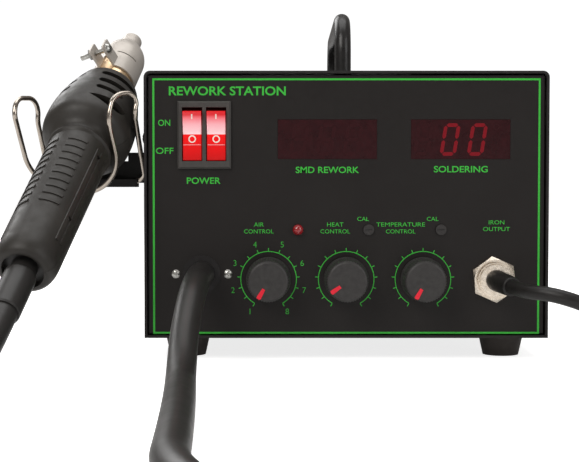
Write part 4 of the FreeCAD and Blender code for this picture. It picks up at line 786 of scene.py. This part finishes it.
def digit_segments():
    """The seven segments of a digit about its middle: name and outline in (x, z)."""
    half = SEGMENT / 2
    w, h = DIGIT_WIDTH / 2 - half, DIGIT_HEIGHT / 2 - half

    def bar(x0, z0, x1, z1):
        """A pointed bar, short of both its ends by the gap between segments."""
        along = Vector((x1 - x0, z1 - z0)).normalized()
        side, point = Vector((-along.y, along.x)) * half, along * half
        a, b = Vector((x0, z0)) + along * SEGMENT_GAP, Vector((x1, z1)) - along * SEGMENT_GAP
        return [a, a + point + side, b - point + side, b, b - point - side, a + point - side]

    return {"top": bar(-w, h, w, h), "middle": bar(-w, 0, w, 0), "bottom": bar(-w, -h, w, -h),
            "left_high": bar(-w, 0, -w, h), "left_low": bar(-w, -h, -w, 0),
            "right_high": bar(w, 0, w, h), "right_low": bar(w, -h, w, 0)}


def add_digit(bm, x, parts, face_y):
    """The named segments of one slanted digit."""
    segments = digit_segments()
    for part in parts:
        loop = [case(x + p.x + p.y * SLANT, face_y, DISPLAY_Z + p.y) for p in segments[part]]
        add_prism(bm, loop, FORWARD)


def add_degree_mark(bm, x, face_y):
    turns = [2 * math.pi * i / DEGREE_STEPS for i in range(DEGREE_STEPS)]
    rim, hole = [[case(x + radius * math.cos(a), face_y, DEGREE_Z + radius * math.sin(a)) for a in turns]
                 for radius in DEGREE_RADII]
    add_band(bm, rim, hole, FORWARD)


def make_digits():
    """Two lit zeros on the iron's display, and every other segment dark."""
    face = (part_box("iron_display_window")[0].y - CASE_ORIGIN.y) / MM
    iron, air = middle("iron_display_window").x, middle("air_display_window").x

    def lit(bm):
        for x in IRON_LIT_DIGITS:
            add_digit(bm, iron + x, ZERO, face)

    def dark(bm):
        for x in IRON_LIT_DIGITS:
            add_digit(bm, iron + x, ("middle",), face)
        add_digit(bm, iron + IRON_DARK_DIGIT, ALL_SEGMENTS, face)
        add_degree_mark(bm, iron + DEGREE_X, face)
        for x in AIR_DIGITS:
            add_digit(bm, air + x, ALL_SEGMENTS, face)

    piece_from("lit_segments", lit, "segment_lit", "station", smooth=False)
    piece_from("dark_segments", dark, "segment_dark", "station", smooth=False)


# --- switches -----------------------------------------------------------------------------------
ROCKER_PIVOT_Y, ROCKER_Z = 3.2, 104.6
ROCKER_HALF, ROCKER_TILT = 11.6, math.radians(9.0)
ROCKER_FLAT = ROCKER_HALF - 0.5        # where the face ends, short of the bevelled edge
ROCKER_CREST, ROCKER_CREASE = -1.0, 1.3
MARK = 0.06                    # how far a mark stands on the rocker
RING_UP = -1.5                 # heights of the marks are along the face, from the pivot's height
RING_RADII = (1.75, 1.2)
RING_STEPS = 28
STROKE_LOW, STROKE_HIGH = 7.9, 10.2
STROKE_HALF_WIDTH = 0.3
BEAD_UP = -4.15
BEAD_REACH = 4.0               # how far it runs to each side
BEAD_RADIUS = 0.26
BEAD_SUNK = 0.05               # how far its middle lies in the face
BEAD_SIDES = 12


def rocker_point(x, up, out):
    """A point on a rocker's face: up along the face from the pivot's height, out from its skin."""
    rise = math.tan(ROCKER_TILT) * ROCKER_HALF
    run = ROCKER_FLAT - ROCKER_CREASE if up > ROCKER_CREASE else ROCKER_FLAT + ROCKER_CREASE
    y = ROCKER_CREST - rise * abs(up - ROCKER_CREASE) / run - out - ROCKER_PIVOT_Y
    return case(x, ROCKER_PIVOT_Y + y * math.cos(ROCKER_TILT) - up * math.sin(ROCKER_TILT),
                ROCKER_Z + y * math.sin(ROCKER_TILT) + up * math.cos(ROCKER_TILT))


def add_rocker_marks(bm, x):
    """The printed circle and stroke that stand for off and on."""
    outward = rocker_point(x, 0.0, MARK) - rocker_point(x, 0.0, 0.0)
    turns = [2 * math.pi * i / RING_STEPS for i in range(RING_STEPS)]
    rim, hole = [[rocker_point(x + radius * math.cos(a), RING_UP + radius * math.sin(a), 0.0) for a in turns]
                 for radius in RING_RADII]
    add_band(bm, rim, hole, outward)
    left, right = x - STROKE_HALF_WIDTH, x + STROKE_HALF_WIDTH
    corners = ((left, STROKE_LOW), (right, STROKE_LOW), (right, STROKE_HIGH), (left, STROKE_HIGH))
    add_prism(bm, [rocker_point(side, up, 0.0) for side, up in corners], outward)


def add_rocker_bead(bm, x):
    """The moulded line across the lower half, in a paler red that paints the highlight along it."""
    line = [rocker_point(x + reach, BEAD_UP, -BEAD_SUNK) for reach in (-BEAD_REACH, 0.0, BEAD_REACH)]
    add_tube(bm, line, BEAD_RADIUS * MM, BEAD_SIDES)


def make_rocker_details():
    for node in ("rocker_left", "rocker_right"):
        x = middle(node).x
        piece_from(node + "_marks", lambda bm: add_rocker_marks(bm, x), "mark_white", node, smooth=False)
        piece_from(node + "_bead", lambda bm: add_rocker_bead(bm, x), "rocker_bead", node)


# --- knobs --------------------------------------------------------------------------------------
KNOB_FACE_Y = -15.8
KNOB_POINTS = {"air_knob": -150.0, "heat_knob": -125.0, "temperature_knob": -150.0}     # degrees from the top
POINTER_EDGE = [(3.9, 0.75), (8.25, 1.05), (8.95, 0.9)]        # distance from the middle, half width
POINTER_TIP = 9.15
POINTER_SUNK, POINTER_DEPTH = 0.4, 0.52


def add_pointer(bm, x, degrees):
    """The red insert in the knob's groove, a little wider at the rim."""
    angle = math.radians(degrees)
    along = Vector((math.sin(angle), 0.0, math.cos(angle)))
    side = Vector((math.cos(angle), 0.0, -math.sin(angle)))
    centre = case(x, KNOB_FACE_Y + POINTER_SUNK, KNOB_Z)
    outline = [(reach, -half) for reach, half in POINTER_EDGE] + [(POINTER_TIP, 0.0)] + POINTER_EDGE[::-1]
    loop = [centre + (along * reach + side * half) * MM for reach, half in outline]
    add_prism(bm, loop, Vector((0.0, -POINTER_DEPTH * MM, 0.0)))


def make_pointers():
    for knob, degrees in KNOB_POINTS.items():
        x = middle(knob).x
        piece_from(knob + "_pointer", lambda bm: add_pointer(bm, x, degrees), "pointer_red", knob,
                   smooth=False)


# --- soldering iron -----------------------------------------------------------------------------
FOAM_RIBS, FOAM_PITCH = 9, 5.2
FOAM_SIDES = 48
FOAM_REAR = [(63.0, 11.4), (63.6, 12.3)]       # distance from the iron's rear end, radius
FOAM_FRONT = [(111.4, 13.1), (112.2, 12.0)]
FOAM_FIRST_RIB = 64.4
FOAM_RIB = [(0.0, 12.35), (4.0, 12.42), (4.5, 12.1), (5.0, 12.1)]      # distance from the rib's start, radius
FOAM_GROWTH = 0.09             # how much wider each rib is than the one behind it


def make_iron_grip():
    """A ribbed foam sleeve round the front of the iron's handle."""
    ribs = [(FOAM_FIRST_RIB + FOAM_PITCH * i + along, radius + FOAM_GROWTH * i)
            for i in range(FOAM_RIBS) for along, radius in FOAM_RIB]
    outline = FOAM_REAR + ribs + FOAM_FRONT
    piece_from("iron_foam_grip", lambda bm: add_lathe(bm, outline, IRON_REAR, IRON_AXIS, FOAM_SIDES),
               "iron_foam", "station")


# --- floor --------------------------------------------------------------------------------------
FLOOR_GLOW_SEEN = 0.80         # the white the camera sees, under the lights' own
FLOOR_GLOW_ROUND = 0.15        # what the object's undersides get
FLOOR_HALF, FLOOR_Z = 6.0, -0.0001     # metres; just under the desk's surface, so that nothing lies in it


def make_floor():
    def plane(bm):
        bm.faces.new([bm.verts.new((x * FLOOR_HALF, y * FLOOR_HALF, FLOOR_Z))
                      for x, y in ((-1, -1), (1, -1), (1, 1), (-1, 1))])

    white = Look("floor_white", (0.80, 0.80, 0.80), 0.6, specular=0.2).mottled(2.0, (0.82, 0.82, 0.82))
    white.set("Emission Color", (1.0, 1.0, 1.0, 1.0))
    ray = white.tree.nodes.new("ShaderNodeLightPath")
    seen = white.spread(ray.outputs["Is Camera Ray"], FLOOR_GLOW_ROUND, FLOOR_GLOW_SEEN, 0.0, 1.0)
    white.link(seen, white.shader.inputs["Emission Strength"])
    looks["floor_white"] = white
    piece_from("floor", plane, "floor_white", None, smooth=False)


def build():
    make_camera()
    for light in LIGHTS:
        softbox(*light)
    make_world()
    make_floor()
    dress_nodes()
    make_hose()
    make_iron_cord()
    make_panel_print()
    make_digits()
    make_rocker_details()
    make_pointers()
    make_iron_grip()


build()
bpy.context.scene.view_settings.view_transform = "Standard"
